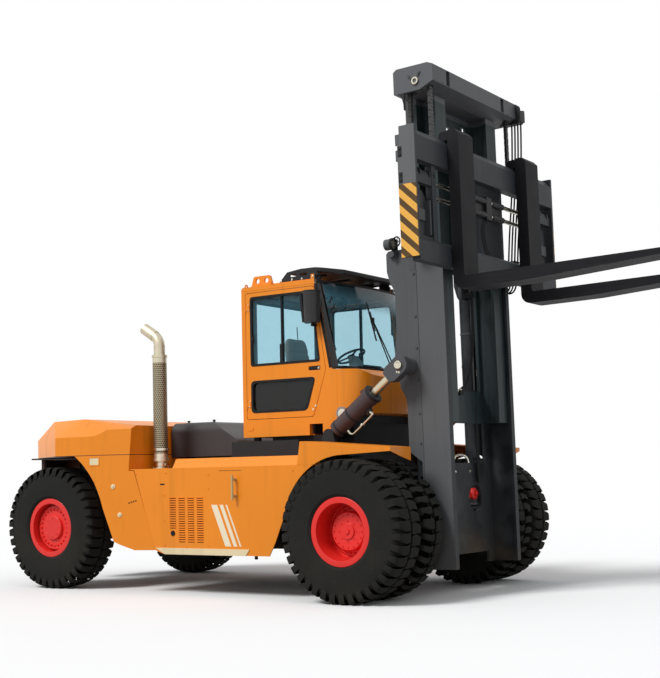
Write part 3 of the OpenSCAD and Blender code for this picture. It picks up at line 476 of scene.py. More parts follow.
ORANGE = srgb(235, 136, 14)
DUST = srgb(150, 120, 80)
CREAM = srgb(232, 214, 172)
PANEL_FACE = 1.48


class Finish(Shader):
    """A paint or metal with mottling, dust that gathers low down, streaks and a fine skin."""

    def weather(self, dust_top=0.75, dust_amount=0.35, streaks=0.15):
        patches = self.noise(2.3, 5.0)
        low = 1 - self.ramp(self.z, 0.1, dust_top)
        self.dust = self.clamp(low * self.ramp(patches, 0.35, 0.75) * dust_amount)
        runs = self.noise(1.0, 4.0, self.scaled((9.0, 9.0, 0.7)))
        self.runs = self.ramp(runs, 0.52, 0.8) * streaks
        self.mottle = 0.93 + 0.14 * self.noise(1.1, 3.0)
        return self

    def skin(self):
        return self.bump(self.noise(260.0, 2.0), 0.0004, 0.5)

    def paint(self, colour, roughness=0.34, coat=0.22, dirt=None, normal=None, gloss=0.3):
        dirty = self.mix(self.dust, self.tone(colour, self.mottle * (1 - self.runs)), dirt or DUST)
        rough = self.clamp(roughness + 0.14 * self.noise(5.0, 4.0) + self.dust * 0.4 + self.runs * 0.4)
        return self.surface(Base_Color=dirty, Roughness=rough, Coat_Weight=coat, Coat_Roughness=0.16,
                            Specular_IOR_Level=gloss, Normal=normal or self.skin())

    def between(self, value, low, high):
        return (value > low) * (value < high)

    def upright_x(self):
        """Drawing-frame X of a point on the leaning mast."""
        return self.run + (self.z - mast_pivot.z) * MAST_SLOPE


def orange_paint():
    return Finish("orange_enamel").weather().paint(ORANGE)


def panel_paint():
    """Orange side panel with its cream sill, worn steel handle and plain slanted stripes."""
    shade = Finish("side_panel_enamel").weather()
    proud = shade.out > PANEL_FACE + 0.0003
    sill = proud * (shade.z < 0.6)
    handle = (shade.out > PANEL_FACE + 0.0015) * (shade.z > 0.9)
    slant = shade.run + (shade.z - 0.5) * 0.42
    bars = 0
    for start, width in ((-1.665, 0.085), (-1.545, 0.05), (-1.46, 0.022)):
        bars = bars + shade.between(slant, start, start + width)
    bars = bars * shade.between(shade.z, 0.56, 1.02) * (1 - proud)
    colour = shade.mix(bars, ORANGE, srgb(240, 226, 196))
    colour = shade.mix(sill, colour, CREAM)
    colour = shade.mix(handle, colour, srgb(190, 170, 120))
    return shade.paint(colour)


def ballast_paint():
    """Orange casting with the dark joint under its cap, and its lower middle between the steered wheels painted
    dark brown as shade.
    """
    shade = Finish("ballast_enamel").weather()
    joint = shade.between(shade.z, 1.609, 1.617) * (shade.out > 0.4)
    # Painted shade: the lower middle, under the cap and between the steered wheels, in dark brown
    painted_shade_block = (shade.out < 0.36) * (shade.z < 1.6)
    colour = shade.mix(shade.clamp(joint + painted_shade_block), ORANGE, srgb(70, 34, 18))
    rough = shade.noise(30.0, 5.0)
    return shade.paint(colour, 0.38, 0.15, normal=shade.bump(rough, 0.002, 0.35, shade.skin()))


def mast_paint():
    """Dark grey mast paint, scuffed where the rollers run, with its front faces painted darker as shade and the
    faces between the rails painted near black as shade, mottled with grease.
    """
    shade = Finish("mast_enamel").weather(0.9, 0.3, 0.12)
    outside = shade.ramp(shade.out, 0.752, 0.758)
    # Faces between the rails: painted shade, mottled with grease
    shade_and_grease = (1 - outside) * (0.75 + 0.25 * shade.ramp(shade.noise(3.0, 5.0), 0.4, 0.6))
    scuff = shade.ramp(shade.noise(1.0, 6.0, shade.scaled((60.0, 60.0, 1.2))), 0.6, 0.78) * 0.3
    gusset = outside * (shade.upright_x() < 0.455)
    # Front faces: painted shade
    front = shade.upright_x() > 0.801
    colour = shade.mix(scuff, srgb(88, 89, 91), srgb(108, 109, 111))
    colour = shade.mix(front, colour, srgb(54, 60, 63))
    colour = shade.mix(gusset * 0.35, colour, srgb(66, 68, 70))
    colour = shade.mix(shade_and_grease, colour, srgb(30, 34, 37))
    return shade.paint(colour, 0.5, 0.04, gloss=0.22)


def inner_mast_paint():
    """The inner mast: rails painted teal-black as the shade they stand in, mottled darker with grease, and the grey
    crosshead beam above them.
    """
    shade = Finish("inner_mast_enamel").weather(0.9, 0.1, 0.12)
    beam = shade.ramp(shade.z, 5.29, 5.31)
    grease = shade.ramp(shade.noise(2.0, 6.0, shade.scaled((20.0, 20.0, 0.8))), 0.45, 0.7)
    # The rails' dark colours are painted shade
    rail = shade.mix(grease, srgb(40, 52, 55), srgb(24, 30, 33))
    colour = shade.mix(beam, rail, srgb(88, 89, 92))
    return shade.paint(colour, 0.46, 0.05, gloss=0.25)


def carriage_paint():
    """Carriage grey, painted lighter on its side plates where the light falls and darker as shade elsewhere; the
    side plates' lower part has plain slanted warning stripes.
    """
    shade = Finish("carriage_enamel").weather(0.9, 0.0, 0.12)
    side = shade.ramp(shade.out, 1.6, 1.618)
    slant = (shade.z + shade.upright_x() * 0.93) / 0.165
    yellow = shade.math("FRACT", slant) > 0.48
    worn = shade.ramp(shade.noise(40.0, 5.0), 0.62, 0.72)
    # Side plates in a lit copy of the grey, the rest in a shaded copy
    colour = shade.mix(side, srgb(50, 53, 57), srgb(98, 99, 100))
    warning = side * shade.between(shade.z, 3.46, 4.22)
    stripes = shade.mix(yellow, srgb(84, 62, 34), srgb(238, 178, 78))
    colour = shade.mix(warning * (1 - 0.4 * worn), colour, stripes)
    return shade.paint(colour, 0.5, 0.04, gloss=0.22)


def fork_paint():
    """Black forks, rubbed bare along the blade's upper face and at the tip."""
    shade = Finish("fork_enamel").weather(0.9, 0.0, 0.1)
    forward = shade.ramp(shade.run, 1.3, 3.4)
    rub = shade.ramp(shade.noise(1.0, 6.0, shade.scaled((1.5, 60.0, 30.0))), 0.5, 0.75) * (0.15 + 0.35 * forward)
    colour = shade.mix(rub, srgb(21, 21, 24), srgb(44, 44, 46))
    return shade.paint(colour, 0.55, 0.0, gloss=0.15)


def door_paint():
    """Orange door with its black mirror housing."""
    shade = Finish("door_enamel").weather()
    mirror = shade.out > 0.8515
    return shade.paint(shade.mix(mirror, ORANGE, srgb(36, 34, 36)), 0.36, 0.2)


def cab_paint():
    """Orange cab shell whose front header and inside are black."""
    shade = Finish("cab_enamel").weather()
    header = (shade.run > -0.86) * (shade.z > 3.40)
    inside = (shade.out < 0.795) * shade.between(shade.z, 1.79, 3.47)
    inside = inside * shade.between(shade.run, -1.87, -0.62)
    return shade.paint(shade.mix(shade.clamp(header + inside), ORANGE, srgb(60, 56, 55)))


def axle_paint():
    """Black axle with its differential in the red of the rims."""
    shade = Finish("axle_enamel").weather(1.0, 0.4, 0.1)
    middle = (shade.out < 0.42) * (shade.run > -0.1)
    return shade.paint(shade.mix(middle, srgb(38, 37, 37), srgb(176, 36, 36)), 0.5, 0.05, gloss=0.25)


def black_paint(name="black_enamel", colour=srgb(33, 33, 35), roughness=0.46, coat=0.04, gloss=0.22):
    return Finish(name).weather(0.9, 0.3, 0.15).paint(colour, roughness, coat, gloss=gloss)


def moulded_plastic(name="moulded_plastic", colour=srgb(34, 34, 36), grain=420.0):
    shade = Finish(name).weather(0.5, 0.2, 0.05)
    return shade.paint(colour, 0.6, 0.0, normal=shade.bump(shade.cells(grain), 0.0006, 0.6), gloss=0.2)


def rim_paint():
    return Finish("rim_enamel").weather(0.8, 0.22, 0.1).paint(srgb(228, 44, 38), 0.36, 0.2, srgb(150, 70, 50))


def tyre_rubber():
    shade = Finish("tyre_rubber").weather(1.3, 0.3, 0.1)
    fine = shade.noise(60.0, 6.0)
    colour = shade.mix(shade.ramp(fine, 0.45, 0.8) * 0.4, srgb(32, 32, 30), srgb(48, 46, 42))
    return shade.paint(colour, 0.8, 0.0, srgb(66, 62, 54), shade.bump(fine, 0.002, 0.5), gloss=0.15)


def bright_steel(name="chromed_steel", low=srgb(188, 184, 172), high=srgb(224, 220, 206)):
    shade = Finish(name)
    lines = shade.noise(1.0, 5.0, shade.scaled((900.0, 900.0, 14.0)))
    return shade.surface(Base_Color=shade.mix(lines, low, high), Metallic=1.0, Roughness=0.2 + 0.12 * lines,
                         Normal=shade.bump(lines, 0.0002, 0.4))


def tilt_rod_finish():
    """Chromed rod with a painted head."""
    shade = Finish("tilt_rod_finish")
    along = (shade.x - tilt_foot.x) * math.cos(TILT_RISE) + (shade.z - tilt_foot.z) * math.sin(TILT_RISE)
    head = shade.ramp(along, TILT_SPAN - 0.212, TILT_SPAN - 0.206)
    lines = shade.noise(1.0, 5.0, shade.scaled((60.0, 60.0, 60.0)))
    return shade.surface(Base_Color=shade.mix(head, srgb(206, 194, 168), srgb(62, 63, 66)), Metallic=1 - head,
                         Roughness=0.24 + 0.1 * lines + 0.2 * head, Normal=shade.bump(lines, 0.0003, 0.4))


def exhaust_steel():
    """Heat-tinted steel with the staggered round holes of its guard, painted as dark spots for the shade inside
    them.
    """
    shade = Finish("exhaust_steel")
    low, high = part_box("exhaust_stack")
    centre = (high.x - 0.092, (low.y + high.y) / 2)
    angle = shade.math("ARCTAN2", shade.y - centre[1], shade.x - centre[0])
    holes_round, hole_pitch = 20, 0.024
    across = angle * (holes_round / (2 * math.pi))
    up = shade.z / hole_pitch
    row = shade.math("FLOOR", up)
    stagger = across + shade.math("MODULO", row, 2.0) * 0.5
    u = shade.math("FRACT", stagger + 50) - 0.5
    v = shade.math("FRACT", up) - 0.5
    spot = shade.length(u, v)
    guard = (shade.z > 1.62) * (shade.z < 2.70)
    # Each hole is a spot of painted shade
    shaded_hole = (1 - shade.ramp(spot, 0.30, 0.36)) * guard
    heat = shade.ramp(shade.z + 0.25 * shade.noise(3.0), 2.6, 3.05)
    metal = shade.mix(shade.noise(14.0, 5.0), srgb(188, 182, 160), srgb(228, 223, 206))
    metal = shade.mix(guard * 0.85, metal, srgb(152, 139, 112))
    metal = shade.mix(heat * 0.3, metal, srgb(170, 148, 108))
    return shade.surface(Base_Color=shade.mix(shaded_hole, metal, srgb(26, 23, 18)), Metallic=1 - 0.9 * shaded_hole,
                         Roughness=0.34 + 0.25 * shade.noise(22.0, 4.0) + shaded_hole * 0.3,
                         Normal=shade.bump(1 - shaded_hole, 0.003, 0.8))


def cast_iron():
    shade = Finish("cast_iron").weather(1.0, 0.5, 0.1)
    grain = shade.bump(shade.noise(150.0, 5.0), 0.0015, 0.6)
    return shade.paint(srgb(40, 39, 39), 0.66, 0.0, normal=grain, gloss=0.2)


GLASS_TINT = (0.82, 0.925, 0.955, 1.0)
GLASS_BODY = srgb(120, 186, 210)


def screen_glass():
    """Pale blue windscreen with a printed black border, growing darker towards its top."""
    shade = Finish("windscreen_glass")
    smear = shade.noise(4.0, 4.0)
    along = shade.run
    frame_line = shade.clamp((shade.out > 0.805) + (shade.z > 3.46) + (shade.z < 2.535))
    band = shade.clamp(frame_line + shade.ramp(shade.z, 3.16, 3.46) * 0.85) * (along > -0.95)
    return shade.pane(shade.clamp(0.05 + 0.04 * smear + band),
                      Base_Color=shade.mix(band, GLASS_BODY, srgb(22, 22, 23)), Roughness=0.05 + 0.04 * smear)


def door_glass_finish():
    """Pale blue side glass, very dark in the door's lower window."""
    shade = Finish("side_glass")
    smear = shade.noise(4.0, 4.0)
    dark = shade.z < 2.5
    return shade.pane(0.05 + 0.04 * smear + 0.6 * dark, Roughness=0.05 + 0.04 * smear,
                      Base_Color=shade.mix(dark, GLASS_BODY, srgb(34, 35, 32)))


def seat_cloth():
    shade = Finish("seat_cloth")
    weave = shade.noise(900.0, 1.0) + shade.cells(700.0) * 0.5
    # The cloth is painted lighter and warmer than it is, standing in for the light that the tinted panes hold back
    return shade.surface(Base_Color=shade.mix(shade.noise(40.0), srgb(172, 150, 136), srgb(196, 174, 158)),
                         Roughness=0.9, Sheen_Weight=0.3, Specular_IOR_Level=0.2,
                         Normal=shade.bump(weave, 0.001, 0.6))


def lamp_lens(name, colour):
    shade = Finish(name)
    ribs = shade.math("SINE", shade.z * 700.0) * 0.5 + 0.5
    darker = tuple(0.72 * c for c in colour[:3]) + (1,)
    return shade.surface(Base_Color=shade.mix(ribs, colour, darker), Roughness=0.12 + 0.05 * ribs, Coat_Weight=1.0,
                         Coat_Roughness=0.03, Normal=shade.bump(ribs, 0.0006, 0.5))


MATERIALS = {
    "orange": orange_paint(),
    "panel": panel_paint(),
    "ballast": ballast_paint(),
    "mast": mast_paint(),
    "inner": inner_mast_paint(),
    "carriage": carriage_paint(),
    "fork": fork_paint(),
    "axle": axle_paint(),
    "cab": cab_paint(),
    "black": black_paint(),
    "barrel": black_paint("barrel_enamel", srgb(66, 52, 54), 0.42, 0.08, 0.3),
    "grey": black_paint("grey_enamel", srgb(78, 79, 81), 0.5),
    "hood": black_paint("hood_enamel", srgb(56, 52, 53), 0.4, 0.1, 0.3),
    "plastic": moulded_plastic(),
    "pale_plastic": moulded_plastic("pale_plastic", srgb(150, 152, 152)),
    "lining": moulded_plastic("lining_plastic", srgb(150, 140, 134), 160.0),
    "rubber": moulded_plastic("black_rubber", srgb(22, 22, 23), 200.0),
    "rim": rim_paint(),
    "tyre": tyre_rubber(),
    "steel": bright_steel(),
    "zinc": bright_steel("zinc_plate", srgb(196, 190, 172), srgb(226, 220, 204)),
    "tilt_rod": tilt_rod_finish(),
    "exhaust": exhaust_steel(),
    "cast": cast_iron(),
    "glass": door_glass_finish(),
    "screen": screen_glass(),
    "door": door_paint(),
    "cloth": seat_cloth(),
    "cream": black_paint("cream_enamel", CREAM, 0.4, 0.2, 0.3),
    # A dark brown that paints the shade under the counterweight's cap
    "shade_brown": black_paint("shade_brown_enamel", srgb(48, 30, 24), 0.6),
    "chain": black_paint("oiled_chain", srgb(40, 39, 38), 0.38, 0.1, 0.5),
    "clear_lens": lamp_lens("clear_lens", srgb(236, 228, 206)),
    "red_lens": lamp_lens("red_lens", srgb(170, 26, 22)),
}

# ---------------------------------------------------------------- wheels

TYRE_WIDTH = 0.43
TYRE_STEPS = 152                  # spin steps; each lug takes three of every four
LUG_FOOT, LUG_EDGE = 0.64, 0.014  # lugs lie outside this radius and beyond this distance from the middle
# Side of the tyre from the bead to the shoulder: radius, and distance from the tyre's middle
TYRE_BASE = [(0.3185, 0.1485), (0.3605, 0.1695), (0.363, 0.1915), (0.385, 0.2065), (0.392, 0.2115), (0.402, 0.2095),
             (0.44, 0.2145), (0.50, 0.215), (0.556, 0.2125), (0.564, 0.2145), (0.574, 0.2115), (0.612, 0.2105)]
# Bottom of the grooves and the lug's own surface above it, from the shoulder to the crown
TYRE_TREAD = [((0.636, 0.2065), (0.640, 0.2145)), ((0.672, 0.190), (0.692, 0.2125)),
              ((0.694, 0.168), (0.727, 0.2025)),
              ((0.702, 0.128), (0.7395, 0.168)), ((0.705, 0.070), (0.7435, 0.085)),
              ((0.706, 0.012), (0.745, 0.014))]


def tyre(form, centre):
    """A treaded tyre: the carcass is spun, and its lugs are pulled out of three sectors in four."""
    half = TYRE_BASE + [low for low, _ in TYRE_TREAD]
    profile = [(r, h) for r, h in half] + [(r, -h) for r, h in reversed(half)]
    fresh = form.turned(profile, centre, steps=TYRE_STEPS, closed=True)
    centre = Vector(centre)

    def polar(point):
        offset = point - centre
        return math.hypot(offset.x, offset.z), math.atan2(offset.z, offset.x), offset.y

    def lug(face):
        radius, angle, across = polar(face.calc_center_median())
        sector = int(math.floor(angle / (2 * math.pi) * TYRE_STEPS)) + (2 if across > 0 else 0)
        return radius > LUG_FOOT and abs(across) > LUG_EDGE and sector % 4 != 0

    raised = bmesh.ops.extrude_face_region(form.mesh, geom=[f for f in fresh if lug(f)])["geom"]
    tops = {v for v in raised if isinstance(v, bmesh.types.BMVert)}
    for vert in tops:
        radius, angle, across = polar(vert.co)
        low, high = min(TYRE_TREAD, key=lambda pair: math.hypot(pair[0][0] - radius, pair[0][1] - abs(across)))
        vert.co = centre + Vector((high[0] * math.cos(angle), math.copysign(high[1], across),
                                   high[0] * math.sin(angle)))
    below = {f for f in form.mesh.faces if f.is_valid and lug(f) and not all(v in tops for v in f.verts)
             and not all(e.is_manifold for e in f.edges)}
    bmesh.ops.delete(form.mesh, geom=list(below), context="FACES_ONLY")
    sector_width = 2 * math.pi / TYRE_STEPS
    for vert in {v for f in fresh if f.is_valid for v in f.verts} | tops:
        radius, angle, across = polar(vert.co)
        if radius > 0.62:
            share = max(0.0, 1 - abs(across) / 0.205)
            edge = (round(angle / sector_width) + (2 if across > 0 else 0)) % 4
            # Each groove narrows from the shoulder to the crown, and leans
            angle += {0: 1, 1: -1}.get(edge, 0) * sector_width * (-0.24 + 0.56 * min(1, share * 1.5))
            angle += 0.052 * share * math.copysign(1, across) * min(1, abs(across) / 0.05)
            vert.co = centre + Vector((radius * math.cos(angle), across, radius * math.sin(angle)))
    soften_edges(form.mesh, {e for v in tops for e in v.link_edges}, 0.006, 38, segments=1)


def tyre_centres(node, count):
    low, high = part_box(node)
    inner = min(abs(low.y), abs(high.y)) + TYRE_WIDTH / 2
    outer = max(abs(low.y), abs(high.y)) - TYRE_WIDTH / 2
    side = math.copysign(1, low.y + high.y)
    middle = (low + high) / 2
    return [Vector((middle.x, side * y, middle.z)) for y in ([inner, outer] if count == 2 else [outer])]


def wheels():
    for side in SIDES:
        for node, count in ((f"front_tyres_{side}", 2), (f"rear_tyre_{side}", 1)):
            form = Form()
            for centre in tyre_centres(node, count):
                tyre(form, centre)
            form.piece(f"{node}_treaded", body_of(node), "tyre", PACKED, stands_for=[node], smooth=40)
        formed(f"front_rims_{side}", "rim", 0.003)
        formed(f"rear_rim_{side}", "rim", 0.003)
        wheel_nuts(side)


def nut_ring(form, centre, out, count, radius, size):
    for x, z in circle(count, radius):
        at = centre + Vector((x, 0, z))
        form.rod(at, at + Vector((0, out * size * 1.1, 0)), size, sides=6, soften=size * 0.12)
        form.rod(at, at + Vector((0, out * size * 1.9, 0)), size * 0.5, sides=8, soften=0)


# Rings of nuts on each wheel: place outward from the outer tyre's middle, count, radius, size
WHEEL_NUTS = {"front": ((-0.09, 24, 0.236, 0.013), (0.037, 16, 0.17, 0.008), (0.037, 8, 0.105, 0.007)),
              "rear": ((0.118, 24, 0.222, 0.013), (0.151, 8, 0.115, 0.006))}


def wheel_nuts(side):
    out = Vector((0, SIDES[side], 0))
    for end, tyres, count, body in (("front", "tyres", 2, f"front_wheels_{side}"),
                                    ("rear", "tyre", 1, f"rear_wheel_{side}")):
        centre = tyre_centres(f"{end}_{tyres}_{side}", count)[-1]
        form = Form()
        for place, number, radius, size in WHEEL_NUTS[end]:
            nut_ring(form, centre + out * place, SIDES[side], number, radius, size)
        if end == "front":
            form.rod(centre + out * 0.03, centre + out * 0.068, 0.03, sides=24, soften=0.006)
        form.piece(f"{end}_wheel_nuts_{side}", body, "rim", PACKED)


# ---------------------------------------------------------------- the frame's own nodes

NODE_FINISH = {
    "chassis_frame": "black", "counterweight": "ballast", "side_panel_right": "panel", "side_panel_left": "panel",
    "deck": "orange", "fenders": "orange", "engine_block": "cast", "engine_hood": "hood", "cab_shell": "cab",
    "cab_cowl": "orange", "roof_guard": "black", "dashboard": "plastic", "steering_wheel": "plastic",
    "drive_axle": "axle", "steer_axle": "cast", "outer_mast": "mast", "lift_barrels": "mast", "inner_mast": "inner",
    "lift_rods": "chain", "carriage": "carriage", "positioner_rods": "steel",
    "exhaust_stack": "exhaust", "cab_glass": "screen",
}
for side in SIDES:
    NODE_FINISH |= {f"door_{side}": "door", f"knuckle_{side}": "cast", f"fork_{side}": "fork",
                    f"tilt_barrel_{side}": "barrel", f"tilt_rod_{side}": "tilt_rod", f"door_glass_{side}": "glass"}
EDGE = {"counterweight": 0.012, "cab_shell": 0.006, "fork_right": 0.006, "fork_left": 0.006, "outer_mast": 0.005,
        "inner_mast": 0.005, "carriage": 0.005, "engine_hood": 0.01, "cab_glass": 0.0, "door_glass_right": 0.0,
        "door_glass_left": 0.0, "cab_cowl": 0.008}


def carried_nodes():
    for node, finish in NODE_FINISH.items():
        formed(node, finish, EDGE.get(node, 0.003))


# ---------------------------------------------------------------- cab

DOOR_FACE, DOOR_INSIDE, PANE = 0.85, 0.805, 0.829
GLASS_FOOT, GLASS_HEAD, GLASS_HALF_WIDTH = 2.502, 3.474, 0.844
WINDOW_REAR, WINDOW_HEAD = -1.77, 3.395


def post_x(z):
    """Front edge of the cab's side at a height."""
    return -0.64 - 0.19 * (z - 2.5) / 0.985


def upper_window(inset):
    return soft_corners([(WINDOW_REAR + inset, 2.60 + inset), (-0.805 - inset, 2.60 + inset),
                         (post_x(WINDOW_HEAD) - 0.085 - inset, WINDOW_HEAD - inset),
                         (WINDOW_REAR + inset, WINDOW_HEAD - inset)], 0.04)


def lower_window(inset):
    return soft_corners([(WINDOW_REAR + inset, 2.06 + inset), (-0.99 - inset, 2.06 + inset),
                         (-0.87 - inset, 2.42 - inset), (WINDOW_REAR + inset, 2.42 - inset)], 0.06)


def rear_window(inset):
    return soft_rectangle((-0.64 + inset, 2.56 + inset), (0.64 - inset, 3.38 - inset), 0.06)


def screen_at(y, z, proud=0.0):
    """A point on the bulging windscreen."""
    bulge = 0.21 - 0.04 * (z - GLASS_FOOT) / (GLASS_HEAD - GLASS_FOOT)
    return (post_x(z) + 0.001 + proud + bulge * math.sqrt(max(0.0, 1 - (y / GLASS_HALF_WIDTH) ** 2)), y, z)


def door_fittings(side):
    """Seals, the sliding pane's edge and latch, the handle with its lock, and the lining inside."""
    body = f"door_{side}_body"
    seals = Form()
    for window in (upper_window, lower_window):
        seals.band(window(-0.007), window(0.021), Y, -DOOR_FACE - 0.0045, -PANE)
    seals.box((-1.343, -0.842, 2.60), (-1.320, -0.800, 3.395), 0.003)
    seals.box((-1.362, -0.845, 2.60), (-1.318, -0.800, 2.83), 0.004)
    seals.side_piece(side, "window_seals", body, "rubber")
    fittings = Form()
    fittings.box((-1.757, -0.846, 2.86), (-1.733, -0.829, 2.96), 0.004)
    fittings.box((-1.762, -0.856, 2.90), (-1.728, -0.840, 2.925), 0.004)
    fittings.plate(soft_rectangle((-0.957, 2.503), (-0.803, 2.545), 0.012), Y, -0.8385, -0.8362, 0.0)
    fittings.box((-0.948, -0.8475, 2.512), (-0.846, -0.8385, 2.537), 0.004)
    # Cap and clips of the mirror's housing, and its frame that faces the rear
    fittings.turned([(0.0, 0.0), (0.108, 0.0), (0.112, 0.006), (0.104, 0.016), (0.0, 0.02)],
                    (-0.842, -0.925, 3.364), (0, 0, 1), 32)
    fittings.plate([(-1.035, 3.352), (-0.897, 3.352), (-0.897, 3.03), (-0.985, 3.03)], X, -0.942, -0.91, 0.006)
    fittings.box((-0.862, -0.93, 2.985), (-0.832, -0.85, 3.012), 0.004)
    fittings.box((-0.858, -0.93, 2.99), (-0.836, -0.905, 3.05), 0.004)
    fittings.side_piece(side, "door_fittings", body, "plastic")
    bright = Form()
    bright.rod((-0.822, -0.836, 2.524), (-0.822, -0.8525, 2.524), 0.0125, sides=20)
    bright.plate([(-1.022, 3.34), (-0.905, 3.34), (-0.905, 3.045), (-0.977, 3.045)], X, -0.9445, -0.9415, 0.0)
    for z in (2.13, 2.19, 3.25, 3.31):
        bright.bolt((-1.80, -0.856, z), (0, -1, 0), 0.0055)
    bright.side_piece(side, "door_bright", body, "zinc")
    hinges = Form()
    for z in (2.16, 3.28):
        hinges.rod((-1.84, -0.851, z - 0.055), (-1.84, -0.851, z + 0.055), 0.012, sides=16)
        hinges.box((-1.835, -0.856, z - 0.032), (-1.785, -0.850, z + 0.032), 0.002)
    hinges.side_piece(side, "door_hinges", body, "orange")
    lining = Form()
    upper = soft_corners([(-1.82, 2.47), (-0.765, 2.47), (post_x(3.43) - 0.062, 3.43), (-1.82, 3.43)], 0.03)
    lower = soft_corners([(-1.82, 2.00), (-0.925, 2.00), (-0.772, 2.466), (-1.82, 2.466)], 0.03)
    lining.band(upper, upper_window(-0.003), Y, -DOOR_INSIDE - 0.001, -0.797, 0.003)
    lining.band(lower, lower_window(-0.003), Y, -DOOR_INSIDE - 0.001, -0.797, 0.003)
    lining.pipe([(-1.70, -0.80, 2.50), (-1.70, -0.75, 2.505), (-1.60, -0.735, 2.51), (-1.30, -0.735, 2.52),
                 (-1.20, -0.75, 2.525), (-1.20, -0.80, 2.53)], 0.012)
    lining.side_piece(side, "door_lining", body, "lining")


def cab_trim():
    """Black edges of the windscreen, the rear window's seal and the lining of roof, floor and rear wall."""
    trim = Form()
    plan = [screen_at(-0.842 * math.cos(math.radians(15 * k)), GLASS_HEAD)[:2] for k in range(13)]
    trim.plate([(-0.87, 0.84), (-0.87, -0.84)] + plan, Z, 3.4745, 3.500, 0.002)
    trim.band(rear_window(-0.02), rear_window(0.022), X, -1.9045, -1.878)
    posts = Form()
    posts.plate([(post_x(2.515) - 0.034, 2.515), (post_x(2.515) + 0.002, 2.515), (post_x(3.47) + 0.002, 3.47),
                 (post_x(3.47) - 0.034, 3.47)], Y, -0.8545, -0.8495, 0.001)
    posts.mirrored()
    posts.piece("post_covers", "chassis", "rubber")
    # Lower rubber of the screen
    low = [screen_at(-0.842 * math.cos(math.radians(7.5 * k)), 2.510, 0.006) for k in range(25)]
    trim.pipe(low, 0.011, 8, curved=False)
    trim.piece("cab_seals", "chassis", "rubber")
    lining = Form()
    lining.box((-1.835, -0.785, 3.444), (-0.80, 0.785, 3.4585), 0.004)
    lining.band(soft_rectangle((-0.785, 1.85), (0.785, 3.44), 0.02), rear_window(-0.004), X, -1.8405, -1.832, 0.003)
    lining.box((-1.50, -0.35, 3.405), (-1.20, 0.35, 3.446), 0.012)
    lining.piece("cab_lining", "chassis", "lining")
    mat = Form()
    mat.box((-1.835, -0.785, 1.834), (-0.965, 0.785, 1.846), 0.004)
    mat.box((-0.955, -0.785, 1.959), (-0.66, 0.785, 1.968), 0.003)
    for k in range(12):
        mat.box((-1.15, -0.70 + 0.12 * k, 1.845), (-0.985, -0.64 + 0.12 * k, 1.850), 0.0015)
    # Pedals
    for y, tilt in ((-0.19, 28), (-0.05, 28), (0.12, 35)):
        mat.box((-0.88, y - 0.045, 1.985), (-0.84, y + 0.045, 2.12), 0.006, rotation(tilt, Y))
    mat.piece("floor_mat", "chassis", "rubber")


def wiper():
    blade = Form()
    line = [screen_at(-0.172 + 0.028 * t / 4, 3.30 - 0.45 * t / 4, 0.016) for t in range(5)]
    blade.pipe(line, 0.009, 6, curved=False)
    blade.pipe([(x + 0.018, y, z) for x, y, z in line[1:4]], 0.006, 6, curved=False)
    blade.box(Vector(screen_at(-0.153, 3.09, 0.012)) - Vector((0.0, 0.018, 0.03)),
              Vector(screen_at(-0.153, 3.09, 0.05)) + Vector((0.0, 0.018, 0.03)), 0.005)
    for shift in (0.0, 0.075):
        ends = [screen_at(-0.15 + (0.17 + shift) * t / 5, 3.10 - 0.55 * t / 5, 0.030) for t in range(6)]
        blade.pipe(ends, 0.0075, 6, curved=False)
    for y in (0.02, 0.095):
        blade.rod(screen_at(y, 2.55, -0.01), screen_at(y, 2.55, 0.05), 0.018, 0.014)
    blade.piece("wiper", "chassis", "plastic")


